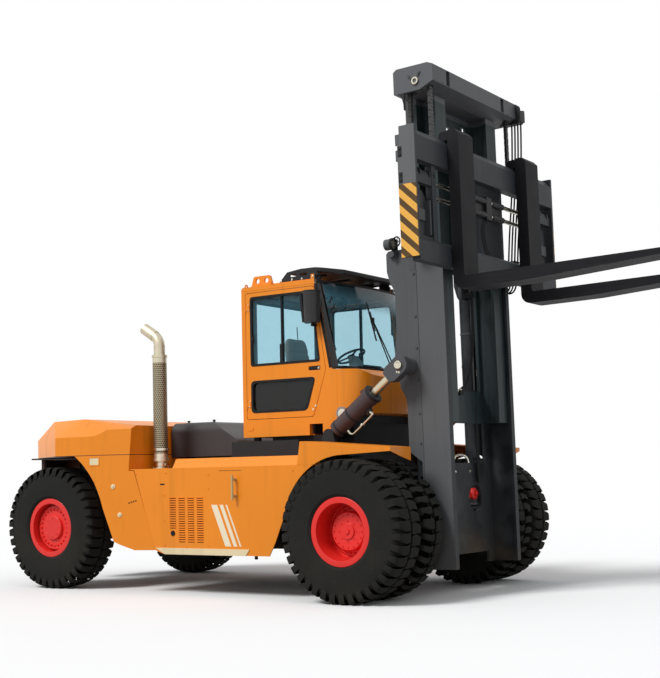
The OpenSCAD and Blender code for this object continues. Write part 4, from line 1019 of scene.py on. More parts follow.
def cab_interior():
    trim = Form()
    # Binnacle over the dash, the pod beside it, the armrests and the side console
    trim.plate(soft_corners([(-0.86, 2.42), (-0.66, 2.40), (-0.655, 2.50), (-0.74, 2.60), (-0.84, 2.615),
                             (-0.875, 2.52)], 0.03), Y, 0.02, 0.36, 0.02)
    trim.plate(soft_corners([(-0.85, 2.43), (-0.67, 2.42), (-0.68, 2.50), (-0.84, 2.53)], 0.02), Y, -0.58, -0.20,
               0.015)
    armrest = soft_corners([(-1.60, 2.37), (-1.16, 2.37), (-1.14, 2.43), (-1.17, 2.455), (-1.58, 2.45),
                            (-1.62, 2.42)], 0.02)
    for y in (-0.42, 0.31):
        trim.plate(armrest, Y, y, y + 0.11, 0.014)
    trim.box((-1.62, -0.44, 1.845), (-1.22, -0.33, 2.38), 0.02)
    # Levers with their knobs
    for k in range(3):
        foot = Vector((-1.21 - 0.075 * k, -0.375, 2.45))
        top = foot + Vector((0.03, 0, 0.15))
        trim.rod(foot, top, 0.007, sides=10)
        trim.turned([(0.0, 0.0), (0.014, 0.002), (0.022, 0.02), (0.02, 0.038), (0.0, 0.048)], top, (0, 0, 1), 20)
        trim.rod(foot - Vector((0, 0, 0.01)), foot + Vector((0, 0, 0.035)), 0.024, 0.009, sides=16)
    # Fan and its bracket behind the screen's head, and a box beside it
    trim.rod((-0.90, -0.30, 3.445), (-0.90, -0.30, 3.36), 0.012)
    for radius, thick in ((0.075, 0.006), (0.04, 0.004)):
        trim.ring((-0.86, -0.30, 3.30), (1, 0, 0.15), radius, thick)
    trim.rod((-0.93, -0.30, 3.30), (-0.865, -0.30, 3.31), 0.036, 0.03)
    trim.box((-0.99, -0.60, 3.36), (-0.84, -0.40, 3.446), 0.012)
    # Grab hoops at the head of the right post
    trim.pipe([(-0.83, -0.74, 3.43), (-0.765, -0.70, 3.40), (-0.715, -0.72, 3.33), (-0.70, -0.78, 3.25)], 0.0075)
    trim.pipe([(-0.80, -0.72, 3.33), (-0.74, -0.69, 3.30), (-0.69, -0.71, 3.23), (-0.68, -0.78, 3.16)], 0.0075)
    trim.piece("cab_trim_inside", "chassis", "plastic")
    pale = Form()
    pale.plate(soft_corners([(-0.90, 2.50), (-0.80, 2.47), (-0.785, 2.60), (-0.86, 2.70), (-0.93, 2.715),
                             (-0.945, 2.66)], 0.02), Y, -0.075, 0.045, 0.018)
    pale.box((-0.885, 0.06, 2.49), (-0.872, 0.32, 2.58), 0.004, rotation(-12, Y))
    for y in (0.10, -0.26):
        pale.box((-1.475, y, 3.392), (-1.24, y + 0.16, 3.407), 0.004)
    pale.piece("column_pod", "chassis", "pale_plastic")


def cab_roof_fittings():
    dark = Form()
    # Ribs under the visor, its two hangers and the bar across the roof
    for y in (-0.50, 0.0, 0.50):
        dark.box((-1.26, y - 0.02, 3.60), (-0.93, y + 0.02, 3.626), 0.003)
    for y in (-0.76, 0.73):
        dark.box((-0.935, y, 3.530), (-0.845, y + 0.03, 3.60), 0.004)
    dark.rod((-1.36, -0.755, 3.575), (-1.36, 0.755, 3.575), 0.014, sides=16)
    dark.piece("roof_rack_bars", "chassis", "black")
    bolts = Form()
    for x in (-1.37, -1.22, -1.08, -0.93):
        bolts.bolt((x, -0.775, 3.556), (0, -1, 0), 0.009)
    bolts.bolt((-0.878, -0.85, 3.555), (0, -1, 0), 0.009)
    for x, z in ((-0.905, 2.06), (-0.87, 2.10)):
        bolts.bolt((x, -0.85, z), (0, -1, 0), 0.010)
    bolts.mirrored()
    bolts.piece("cab_bolts", "chassis", "zinc")
    orange = Form()
    orange.ring((-1.862, -0.80, 3.535), (1, 0, 0), 0.022, 0.008)
    orange.box((-1.885, -0.825, 3.500), (-1.84, -0.775, 3.528), 0.004)
    orange.rod((-1.50, -0.80, 3.52), (-1.50, -0.80, 3.555), 0.009, sides=12)
    orange.ring((-1.50, -0.80, 3.565), (0, 1, 0), 0.014, 0.006)
    orange.plate(soft_rectangle((-1.83, 1.85), (-1.755, 1.90), 0.02), Y, -0.856, -0.849, 0.003)
    orange.mirrored()
    # Gutters along the roof
    for y in (-0.853, 0.846):
        orange.box((-1.885, y, 3.474), (-0.845, y + 0.007, 3.486), 0.003)
    orange.piece("roof_eyes", "chassis", "orange")
    lamp = Form()
    lamp.turned([(0.0, 0.0), (0.044, 0.0), (0.052, 0.008), (0.052, 0.040), (0.047, 0.044), (0.044, 0.036),
                 (0.0, 0.036)], (-0.580, -0.795, 2.03), (1, 0, 0), 32)
    lamp.mirrored()
    lamp.piece("cowl_lamp_bezels", "chassis", "plastic")
    lens = Form()
    lens.turned([(0.0, 0.0), (0.044, 0.0), (0.040, 0.007), (0.022, 0.012), (0.0, 0.014)], (-0.545, -0.795, 2.03),
                (1, 0, 0), 32)
    lens.mirrored()
    lens.piece("cowl_lamp_lenses", "chassis", "pale_plastic")


# ---------------------------------------------------------------- seat

PAD_VOXEL, PAD_PRESSURE, PAD_STEPS, PAD_CAP = 0.009, 4, 20, 0.018
CHANNEL_DEPTH = 0.012
BACK_FOOT = Vector((-1.64, 0, 2.36))


def puffed(form, name):
    """Lets the closed form swell a little as a stuffed cover, no point by more than PAD_CAP."""
    data = bpy.data.meshes.new(name + "_form")
    form.mesh.to_mesh(data)
    form.mesh.free()
    pad = bpy.data.objects.new(name + "_form", data)
    bpy.context.scene.collection.objects.link(pad)
    remesh = pad.modifiers.new("remesh", "REMESH")
    remesh.mode = "VOXEL"
    remesh.voxel_size = PAD_VOXEL
    depsgraph = bpy.context.evaluated_depsgraph_get()
    pad.data = bpy.data.meshes.new_from_object(pad.evaluated_get(depsgraph))
    pad.modifiers.clear()
    start = [vert.co.copy() for vert in pad.data.vertices]
    cloth = pad.modifiers.new("cloth", "CLOTH")
    cloth.settings.use_pressure = True
    cloth.settings.uniform_pressure_force = PAD_PRESSURE
    cloth.settings.effector_weights.gravity = 0
    for step in range(1, PAD_STEPS + 1):
        bpy.context.scene.frame_set(step)
    depsgraph = bpy.context.evaluated_depsgraph_get()
    swollen = bpy.data.meshes.new_from_object(pad.evaluated_get(depsgraph))
    bpy.context.scene.frame_set(1)
    mesh = bmesh.new()
    mesh.from_mesh(swollen)
    bpy.data.objects.remove(pad)
    for vert, before in zip(mesh.verts, start):
        offset = vert.co - before
        if offset.length > PAD_CAP:
            vert.co = before + offset.normalized() * PAD_CAP
    return mesh


def pad(form, name, channels, stands_for=()):
    """A swollen cloth pad with sewn channels: their axis, places, depth, width and the way they face."""
    mesh = puffed(form, name)
    mesh.normal_update()
    for channel in channels:
        channelled(mesh, *channel)
    piece = made_piece(mesh, name, "chassis", "cloth", stands_for, 180)


def channelled(mesh, axis, places, depth, width, only):
    """Presses sewn channels into the faces that look along a direction."""
    for vert in mesh.verts:
        if vert.normal.dot(only) > 0.45:
            near = min(abs(vert.co[axis] - place) for place in places)
            if near < width:
                vert.co -= vert.normal * depth * (1 - (near / width) ** 2)


def seat():
    """Suspension seat: padded cushion and back with sewn channels on a bellows pedestal."""
    cushion = Form()
    cushion.box((-1.62, -0.235, 2.245), (-1.185, 0.235, 2.335), 0.03, rotation(-4, Y))
    cushion.moved(TRUCK)
    pad(cushion, "seat_cushion", [(Y, (-0.14, 0.14), CHANNEL_DEPTH, 0.016, Vector((0, 0, 1)))], ["seat"])
    back = Form()
    back.plate(soft_corners([(-0.225, 2.36), (0.225, 2.36), (0.235, 2.78), (0.19, 3.00), (-0.19, 3.00),
                             (-0.235, 2.78)], 0.08), X, -1.70, -1.625, 0.03)
    back.moved(TRUCK @ Matrix.Translation(BACK_FOOT) @ rotation(-9, Y) @ Matrix.Translation(-BACK_FOOT))
    pad(back, "seat_back", [(Y, (-0.13, 0.13), CHANNEL_DEPTH, 0.016, Vector((1, 0, 0))),
                            (Z, (2.60, 2.80), 0.010, 0.014, Vector((1, 0, 0)))])
    base = Form()
    base.box((-1.60, -0.21, 1.845), (-1.24, 0.21, 1.90), 0.01)
    for k in range(6):
        base.box((-1.585 + 0.004 * (k % 2), -0.195 + 0.01 * (k % 2), 1.90 + 0.045 * k),
                 (-1.255 - 0.01 * (k % 2), 0.195 - 0.01 * (k % 2), 1.945 + 0.045 * k), 0.012)
    base.box((-1.62, -0.22, 2.165), (-1.20, 0.22, 2.235), 0.015)
    base.rod((-1.712, 0.0, 2.97), (-1.722, 0.0, 3.12), 0.006, sides=8)
    for sign in (-1, 1):
        base.pipe([(-1.60, sign * 0.235, 2.22), (-1.70, sign * 0.25, 2.24), (-1.70, sign * 0.25, 2.36)], 0.012)
    base.piece("seat_base", "chassis", "plastic")


# ---------------------------------------------------------------- body

LOUVRE_START, LOUVRE_PITCH, LOUVRE_ROWS, LOUVRE_LEAN = (-2.50, 1.09), (0.135, 0.026), 20, 32
COWL_LAMP = Vector((-0.521, -0.8495, 2.001))
TOW_PIN_X = -5.31
EXHAUST_X, EXHAUST_Y = -2.96, -1.10


def facet_place():
    """Frame of the cut facet in front of the right rear wheel: along it, into it and up it."""
    out = Vector((0.355, -0.928, 0.107)).normalized()
    upward = (Vector((0, 0, 1)) - out * out.z).normalized()
    along = upward.cross(out)
    turn = Matrix((along, -out, upward)).transposed().to_4x4()
    return Matrix.Translation((-3.05, -1.48, 1.42)) @ turn


def body_fittings():
    louvres = Form()
    for column in range(4):
        for row in range(LOUVRE_ROWS if column else LOUVRE_ROWS - 6):
            x, z = LOUVRE_START[0] + LOUVRE_PITCH[0] * column, LOUVRE_START[1] - LOUVRE_PITCH[1] * row
            louvres.box((x - 0.003, -1.4885, z + 0.0095), (x + 0.095, -1.479, z + 0.0135), 0.0,
                        rotation(-LOUVRE_LEAN, X))
    louvres.piece("louvre_hoods", "chassis", "orange")
    dark = Form()
    # A dark sheet behind the louvre slots paints the shade inside the body
    dark.box((-2.54, -1.448, 0.56), (-1.96, -1.442, 1.12), 0.002)
    dark.rod((-2.453, -1.478, 0.698), (-2.453, -1.489, 0.698), 0.030)
    dark.rod((-2.453, -1.489, 0.698), (-2.453, -1.494, 0.698), 0.012)
    dark.box((-2.638, -1.4825, 1.249), (-2.572, -1.479, 1.266), 0.001)
    for k in range(9):
        dark.box((-1.755 + 0.035 * k, -1.4815, 1.3955), (-1.735 + 0.035 * k, -1.479, 1.4025), 0.0)
    facet = Form()
    for k in range(4):
        facet.rod((-0.046 + 0.028 * k, 0.0, -0.375 + 0.008 * k), (-0.046 + 0.028 * k, -0.004, -0.375 + 0.008 * k),
                  0.009, sides=12)
    facet.moved(facet_place())
    facet.piece("facet_slot", "chassis", "rubber")
    dark.piece("panel_lock_and_louvre_shade", "chassis", "rubber")
    pale = Form()
    for u, w in ((-0.2516, -0.180), (-0.158, -0.513)):
        pale.rod((u, 0.002, w), (u, -0.008, w), 0.030, 0.026)
        pale.rod((u, -0.008, w), (u, -0.016, w), 0.012, sides=6)
    pale.moved(facet_place())
    pale.mirrored()
    pale.piece("facet_plugs", "chassis", "cream")
    trim = Form()
    # Frame of the blank plate on each flank, and the bolts of the side panels and the deck's edge
    blank = soft_rectangle((-3.622, 1.500), (-3.476, 1.579), 0.010)
    trim.band(soft_rectangle((-3.635, 1.487), (-3.463, 1.592), 0.012), blank, Y, -1.625, -1.619)
    for x, z in ((-1.921, 1.354), (-1.924, 1.197), (-2.58, 1.13), (-2.58, 0.56), (-2.58, 0.84), (-1.93, 0.56),
                 (-2.25, 0.545)):
        trim.bolt((x, -1.480, z), (0, -1, 0), 0.008, 0.004)
    for x in (-3.01, -2.55, -0.75):
        trim.bolt((x, -1.480, 1.385), (0, -1, 0), 0.009, 0.005)
    trim.mirrored()
    trim.piece("panel_bolts", "chassis", "orange")
    plate = Form()
    plate.plate(blank, Y, -1.6225, -1.6195)
    plate.mirrored()
    plate.piece("blank_plates", "chassis", "cream")
    # Dark blocks that paint the shade in the gap under the cab and in the recess under its cowl, and a small
    # bracket low on the right
    under = Form()
    under.box((-1.52, -0.80, 1.64), (-0.62, 0.80, 1.772), 0.006)
    under.box((-0.66, -0.86, 1.62), (-0.36, 0.86, 1.90), 0.006)
    under.box((-1.335, -1.415, 0.418), (-1.307, -1.385, 0.455), 0.004)
    under.piece("cab_gap_shade_and_bracket", "chassis", "rubber", slot="black_paint")
    cowl = Form()
    cowl.turned([(0.0, 0.0), (0.072, 0.0), (0.074, 0.003), (0.074, 0.008), (0.060, 0.0095), (0.054, 0.006),
                 (0.0, 0.005)], COWL_LAMP, (0, -1, 0), 40)
    cowl.mirrored()
    cowl.piece("cowl_lamp_housings", "chassis", "lining")
    lens = Form()
    lens.turned([(0.0, 0.0), (0.053, 0.0), (0.046, 0.0025), (0.0, 0.0035)], COWL_LAMP + Vector((0, -0.005, 0)),
                (0, -1, 0), 36)
    lens.mirrored()
    lens.piece("cowl_lamp_lenses", "chassis", "clear_lens")
    tail = Form()
    # Skirt under the cap's tail, its two hooks, and the liner over the steered wheels, in a dark brown that paints
    # the shade under the cap
    tail.plate([(-5.385, 0.64), (-5.17, 0.925), (-5.13, 0.90), (-5.335, 0.62), (-5.335, -0.62), (-5.13, -0.90),
                (-5.17, -0.925), (-5.385, -0.64)], Z, 1.45, 1.612, 0.004)
    for sign in (-1, 1):
        tail.box((-5.20, sign * 0.90 - 0.02, 1.40), (-5.14, sign * 0.90 + 0.02, 1.60), 0.008)
    for y in (-1.18, 0.36):
        tail.box((-5.10, y, 1.590), (-4.05, y + 0.82, 1.609), 0.004)
    tail.piece("tail_skirt", "chassis", "shade_brown")
    grille = Form()
    for y in (-0.12, 0.12):
        grille.box((-5.405, y - 0.012, 1.02), (-5.395, y + 0.012, 1.11), 0.003)
    grille.piece("tow_jaw_slots", "chassis", "plastic")
    lamps, lenses = Form(), Form()
    for y in (-0.235, 0.235):
        lamps.box((-5.412, y - 0.075, 1.31), (-5.395, y + 0.075, 1.40), 0.005)
        lenses.box((-5.417, y - 0.064, 1.321), (-5.408, y + 0.064, 1.389), 0.004)
    lamps.piece("tail_lamp_housings", "chassis", "plastic")
    lenses.piece("tail_lamp_lenses", "chassis", "red_lens")
    pin = Form()
    for low, high, radius in ((0.87, 1.16, 0.024), (1.158, 1.18, 0.045)):
        pin.rod((TOW_PIN_X, 0, low), (TOW_PIN_X, 0, high), radius)
    pin.ring((TOW_PIN_X, 0, 1.215), (0, 1, 0), 0.032, 0.007)
    pin.piece("tow_pin", "chassis", "zinc")
    clamps = Form()
    for z, inner, outer in ((1.475, 0.060, 0.070), (1.655, 0.084, 0.093)):
        clamps.turned([(inner, 0.0), (outer, 0.0), (outer, 0.028), (inner, 0.028)], (EXHAUST_X, EXHAUST_Y, z),
                      (0, 0, 1), 40, closed=True)
        for y in (-1.135, -1.105):
            clamps.box((-2.955 + 0.06, y, z + 0.002), (-2.955 + 0.10, y + 0.02, z + 0.026), 0.003)
        clamps.rod((-2.87, -1.145, z + 0.014), (-2.87, -1.075, z + 0.014), 0.006, sides=8)
    clamps.turned([(0.062, 0.0), (0.105, 0.0), (0.105, 0.010), (0.062, 0.010)], (EXHAUST_X, EXHAUST_Y, 1.4405),
                  (0, 0, 1), 40, closed=True)
    for across, along in circle(4, 0.086, 0.8):
        clamps.bolt((EXHAUST_X + across, EXHAUST_Y + along, 1.4505), (0, 0, 1), 0.008)
    clamps.piece("exhaust_clamps", "chassis", "zinc")
    knobs = Form()
    for x in (-2.98, -2.58):
        for y in (-0.56, 0.56):
            knobs.turned([(0.0, 0.0), (0.030, 0.0), (0.018, 0.008), (0.012, 0.018), (0.024, 0.030), (0.0, 0.036)],
                         (x, y, 1.988), (0, 0, 1), 20)
    knobs.piece("hood_knobs", "hood", "rubber")


# ---------------------------------------------------------------- mast

CHAIN_PITCH = 0.0381
SHEAVE_X, SHEAVE_Z, SHEAVE_RADIUS = 0.690, 5.455, 0.120
CROSSHEAD_END = 0.969
MAST_LAMP_Y, MAST_LAMP_Z = -0.82, 3.80
HOSE_WHEEL = Vector((0.243, -0.752, 3.835))
TILT_EYE_X, TILT_EYE_Z, TILT_Y = 0.365, 2.47, 0.96


def chain_path():
    """Middle line of a leaf chain: up the rear run, over the sheave and down the front run."""
    middle, radius, top = SHEAVE_X, SHEAVE_RADIUS, SHEAVE_Z
    rear = [(middle - radius, 3.752 + CHAIN_PITCH * k) for k in range(45)]
    rear = [point for point in rear if point[1] < top]
    over = [(middle - radius * math.cos(a), top + radius * math.sin(a))
            for a in (math.pi * k / 10 for k in range(11))]
    front = [(middle + radius, top - CHAIN_PITCH * (k + 1)) for k in range(19)]
    return rear + over + front


def leaf_chains():
    form = Form()
    path = chain_path()
    for k, (start, end) in enumerate(zip(path, path[1:])):
        first, second = Vector((start[0], 0, start[1])), Vector((end[0], 0, end[1]))
        along = second - first
        turn = Matrix.Rotation(-math.atan2(along.z, along.x), 4, "Y")
        middle = (first + second) / 2
        half = along.length / 2 + 0.0125
        plates = (0.852, 0.866, 0.880, 0.894) if k % 2 else (0.859, 0.873, 0.887, 0.901)
        for y in plates:
            form.box((middle.x - half, y, middle.z - 0.0155), (middle.x + half, y + 0.006, middle.z + 0.0155), 0.0,
                     turn)
        form.rod((first.x, 0.850, first.z), (first.x, 0.910, first.z), 0.0095, sides=8, soften=0)
    form.mirrored()
    form.piece("leaf_chains", body_of("lift_chains"), "chain", MAST, stands_for=["lift_chains"])


def outer_mast_fittings():
    strips = Form()
    strips.box((0.464, -0.7645, 0.62), (0.478, -0.759, 3.62), 0.001)
    strips.box((0.395, -0.7635, 3.50), (0.462, -0.759, 3.70), 0.002)
    for z in (1.10, 1.64, 1.96, 2.31, 2.66, 3.00, 3.46):
        strips.bolt((0.444, -0.760, z), (0, -1, 0), 0.0125, 0.009)
    # Bracket of the hose guides at the top of each rail
    strips.box((0.17, -0.80, 3.66), (0.26, -0.758, 3.72), 0.006)
    strips.rod((0.225, -0.80, 3.69), (0.225, -0.835, 3.69), 0.030)
    strips.box((0.225, -0.765, 3.735), (0.255, -0.742, 3.83), 0.004)
    for radius, thick in ((0.052, 0.009), (0.020, 0.006)):
        strips.ring(HOSE_WHEEL, (0.25, 1, 0), radius, thick)
    for x, z in circle(5, 0.05):
        strips.rod(HOSE_WHEEL, HOSE_WHEEL + Vector((x, 0, z)), 0.005, sides=6, soften=0)
    strips.mirrored()
    strips.piece("mast_seam_strips", "mast_outer", "grey", MAST)
    lamps = Form()
    lamps.turned([(0.0, 0.0), (0.050, 0.0), (0.050, 0.004), (0.030, 0.010), (0.0, 0.013)],
                 (0.240, MAST_LAMP_Y, MAST_LAMP_Z), (1, 0, 0), 32)
    lamps.mirrored()
    lamps.piece("mast_lamp_lenses", "mast_outer", "clear_lens", MAST)
    guards = Form()
    guards.turned([(0.060, -0.012), (0.066, -0.012), (0.066, 0.022), (0.060, 0.022)],
                  (0.235, MAST_LAMP_Y, MAST_LAMP_Z), (1, 0, 0), 36, closed=True)
    for z in (-0.03, 0.0, 0.03):
        reach = math.sqrt(0.062 ** 2 - z * z)
        guards.rod((0.256, MAST_LAMP_Y - reach, MAST_LAMP_Z + z), (0.256, MAST_LAMP_Y + reach, MAST_LAMP_Z + z),
                   0.0035, sides=6, soften=0)
    guards.mirrored()
    # Hose runs up the middle of the wall, and their clamps
    for k in range(3):
        x = 0.512 + 0.012 * k
        y = 0.395 - 0.035 * k
        guards.pipe([(x, y, 1.20), (x, y, 1.9), (x, y, 2.06)], 0.012, 8, 2)
    for z in (1.45, 2.0):
        guards.box((0.488, 0.30, z), (0.530, 0.42, z + 0.035), 0.004)
    guards.piece("mast_hose_runs", "mast_outer", "rubber", MAST, slot="black_paint")
    glands = Form()
    for y, z in ((0.398, 1.075), (0.052, 0.80)):
        glands.turned([(0.0, 0.0), (0.050, 0.0), (0.066, -0.012), (0.066, -0.045), (0.0, -0.045)], (0.458, y, z),
                      (1, 0, 0), 32)
        glands.bolt((0.458, y, z), (1, 0, 0), 0.024, 0.014)
    glands.box((0.408, 0.30, 1.03), (0.420, 0.46, 1.12), 0.004)
    glands.piece("mast_hose_glands", "mast_outer", "rim", MAST)
    hook = Form()
    hook.pipe([(0.475, -0.125, 1.30), (0.47, -0.12, 1.43), (0.462, -0.05, 1.492), (0.46, 0.05, 1.512),
               (0.465, 0.16, 1.505), (0.475, 0.215, 1.44), (0.475, 0.215, 1.30)], 0.013, 10)
    for y in (-0.125, 0.215):
        hook.bolt((0.49, y, 1.33), (1, 0, 0), 0.012)
    hook.piece("mast_steel_pipe", "mast_outer", "steel", MAST)
    # Pins of the tilt cylinders with a ring round each head
    pins = Form()
    pins.rod((TILT_EYE_X, -0.72, TILT_EYE_Z), (TILT_EYE_X, -1.0405, TILT_EYE_Z), 0.031)
    pins.turned([(0.018, 0.0), (0.044, 0.0), (0.044, 0.011), (0.040, 0.015), (0.028, 0.015), (0.018, 0.006)],
                (TILT_EYE_X, -1.0315, TILT_EYE_Z), (0, -1, 0), 36, closed=True)
    pins.mirrored()
    pins.piece("tilt_pins", "mast_outer", "zinc", MAST)
    rings = Form()
    for z, r in ((3.600, 0.079), (3.56, 0.088), (0.945, 0.094), (2.90, 0.085)):
        rings.turned([(r - 0.014, 0.0), (r, 0.004), (r, 0.022), (r - 0.014, 0.026)], (0.36, -0.55, z), (0, 0, 1),
                     40, closed=True)
    rings.pipe([(0.44, -0.52, 3.50), (0.455, -0.50, 3.48), (0.452, -0.49, 3.0), (0.452, -0.49, 1.6)], 0.011, 8, 3)
    rings.mirrored()
    rings.piece("lift_barrel_bands", "mast_outer", "grey", MAST)


def inner_mast_fittings():
    beam = Form()
    # Curved fillet under the rear end of the crosshead, in black that paints the shade under the beam, and the hose
    # bracket at its left end
    angles = [math.radians(8 + 10 * k) for k in range(9)]
    fillet = [(0.462 + 0.070 * math.cos(a), 5.20 + 0.150 * math.sin(a)) for a in angles]
    beam.plate([(0.462, 5.357), (0.546, 5.357), (0.546, 5.165), (0.532, 5.175)] + fillet, Y, -CROSSHEAD_END, -0.945,
               0.003)
    beam.mirrored()
    beam.plate(soft_corners([(0.70, 5.37), (0.93, 5.37), (0.96, 5.42), (0.96, 5.56), (0.90, 5.60), (0.74, 5.60),
                             (0.70, 5.54)], 0.02), Y, CROSSHEAD_END, 0.986, 0.003)
    beam.plate(soft_corners([(0.72, 5.39), (0.92, 5.39), (0.95, 5.43), (0.95, 5.55), (0.74, 5.57), (0.72, 5.52)],
                            0.02), Y, 1.105, 1.118, 0.003)
    for x in (0.79, 0.90):
        beam.rod((x, 0.985, 5.49), (x, 1.106, 5.49), 0.045)
        beam.rod((x, 1.117, 5.49), (x, 1.130, 5.49), 0.020, sides=6)
    beam.box((0.72, 0.985, 5.385), (0.93, 1.106, 5.405), 0.003)
    beam.box((0.72, 0.985, 5.555), (0.90, 1.100, 5.610), 0.012)
    beam.box((0.905, 0.990, 5.40), (0.955, 1.115, 5.53), 0.010)
    beam.piece("crosshead_brackets_and_fillet_shade", "mast_inner", "black", MAST, slot="mast_paint")
    steel = Form()
    steel.turned([(0.022, 0.0), (0.040, 0.0), (0.040, 0.010), (0.036, 0.014), (0.026, 0.014), (0.022, 0.010)],
                 (SHEAVE_X, -0.980, SHEAVE_Z), (0, -1, 0), 40, closed=True)
    steel.mirrored()
    steel.piece("sheave_pin_rings", "mast_inner", "zinc", MAST)
    keeper = Form()
    for x, z, lean in ((0.622, 5.505, -35), (0.735, 5.525, 30)):
        keeper.box((x - 0.013, -0.980, z - 0.028), (x + 0.013, -CROSSHEAD_END, z + 0.028), 0.002, rotation(lean, Y))
        keeper.bolt((x, -0.980, z), (0, -1, 0), 0.009, 0.006)
    for y in (-0.61, -0.77):
        for z in (5.435, 5.59):
            keeper.bolt((0.899, y, z), (1, 0, 0), 0.007, 0.004)
    keeper.mirrored()
    keeper.piece("pin_keepers", "mast_inner", "grey", MAST)
    hoses = Form()
    for k in range(4):
        x, y = 0.792 + 0.026 * k, 1.005 + 0.026 * k
        hoses.pipe([(x - 0.03, y, 5.535), (x, y, 5.548), (x + 0.036, y, 5.50), (x + 0.034, y, 5.20), (x, y, 4.60),
                    (x - 0.06, y, 4.05), (x - 0.10, y, 3.60), (x - 0.13, y - 0.02, 3.44),
                    (x - 0.19, y - 0.05, 3.40), (x - 0.235, y - 0.08, 3.46), (x - 0.24, y - 0.10, 3.62),
                    (x - 0.24, y - 0.115, 4.2)], 0.0105, 8, 4)
    for rear, front, z in ((0.70, 0.90, 4.60), (0.64, 0.80, 3.75)):
        hoses.box((rear, 0.985, z), (front, 1.11, z + 0.02), 0.004)
    hoses.piece("crosshead_hoses", "mast_inner", "rubber", MAST, slot="black_paint")
    middle = Form()
    middle.pipe([(0.60, 0.235, 3.30), (0.602, 0.225, 2.91), (0.60, 0.17, 2.57), (0.595, 0.05, 2.32),
                 (0.575, -0.06, 2.235)], 0.016, 10)
    middle.box((0.535, -0.12, 2.17), (0.60, -0.04, 2.225), 0.006)
    middle.box((0.535, 0.19, 3.28), (0.62, 0.28, 3.34), 0.006)
    middle.box((0.50, 0.19, 3.26), (0.54, 0.28, 5.0), 0.004)
    middle.piece("inner_mast_hose", "mast_inner", "rubber", MAST, slot="black_paint")
    end = Form()
    end.rod((0.572, -0.065, 2.232), (0.562, -0.125, 2.205), 0.019)
    end.rod((0.562, -0.125, 2.205), (0.556, -0.150, 2.195), 0.014, sides=6)
    end.piece("hose_end", "mast_inner", "zinc", MAST)


def carriage_fittings():
    parts = Form()
    # Bolted brackets, the shaft between the upright and the side plate, the shift cylinders and their hoses
    for z in (4.539, 4.275):
        parts.box((0.826, -1.6235, z - 0.055), (0.872, -1.6185, z + 0.055), 0.003)
        for dz in (-0.03, 0.03):
            parts.bolt((0.849, -1.6225, z + dz), (0, -1, 0), 0.012, 0.007)
    parts.rod((0.955, -1.20, 4.34), (0.955, -1.585, 4.34), 0.036)
    for y in (-1.215, -1.30, -1.49, -1.572):
        parts.rod((0.955, y - 0.012, 4.34), (0.955, y + 0.012, 4.34), 0.052)
    parts.box((0.925, -1.58, 3.665), (0.99, -1.21, 3.70), 0.004)
    parts.mirrored()
    for z in (4.12, 4.27):
        for start, end in ((-0.33, -0.08), (0.10, 0.36)):
            parts.rod((0.97, start, z), (0.97, end, z), 0.034)
    parts.box((0.94, -0.06, 4.07), (0.997, 0.07, 4.32), 0.006)
    parts.box((0.93, -0.36, 4.08), (0.96, 0.36, 4.31), 0.004)
    for shift in (0.0, 0.035, 0.07):
        parts.pipe([(0.94, -0.03 + shift, 4.10), (0.90, -0.03 + shift, 3.98), (0.88, 0.05 + shift, 3.82),
                    (0.89, 0.12 + shift, 3.70), (0.93, 0.14 + shift, 3.655)], 0.010, 8, 4)
    parts.piece("carriage_bolts_and_shafts", "carriage_body", "black", MAST, slot="mast_paint")
    panel = Form()
    panel.plate(soft_corners([(-1.56, 3.70), (-1.24, 3.70), (-1.24, 4.10), (-1.34, 4.20), (-1.56, 4.20)], 0.03), X,
                0.902, 0.914, 0.003)
    panel.box((0.912, -1.50, 3.86), (0.965, -1.36, 3.98), 0.006)
    panel.box((0.912, -1.30, 3.72), (0.985, -1.272, 4.08), 0.003)
    panel.rod((0.912, -1.43, 4.07), (0.93, -1.43, 4.07), 0.030)
    panel.mirrored()
    panel.piece("carriage_inner_plates", "carriage_body", "grey", MAST)
    rollers = Form()
    for z in (3.47, 3.62):
        rollers.rod((0.63, -0.41, z), (0.63, -0.35, z), 0.045)
    rollers.mirrored()
    rollers.piece("carriage_rollers", "carriage_body", "zinc", MAST)


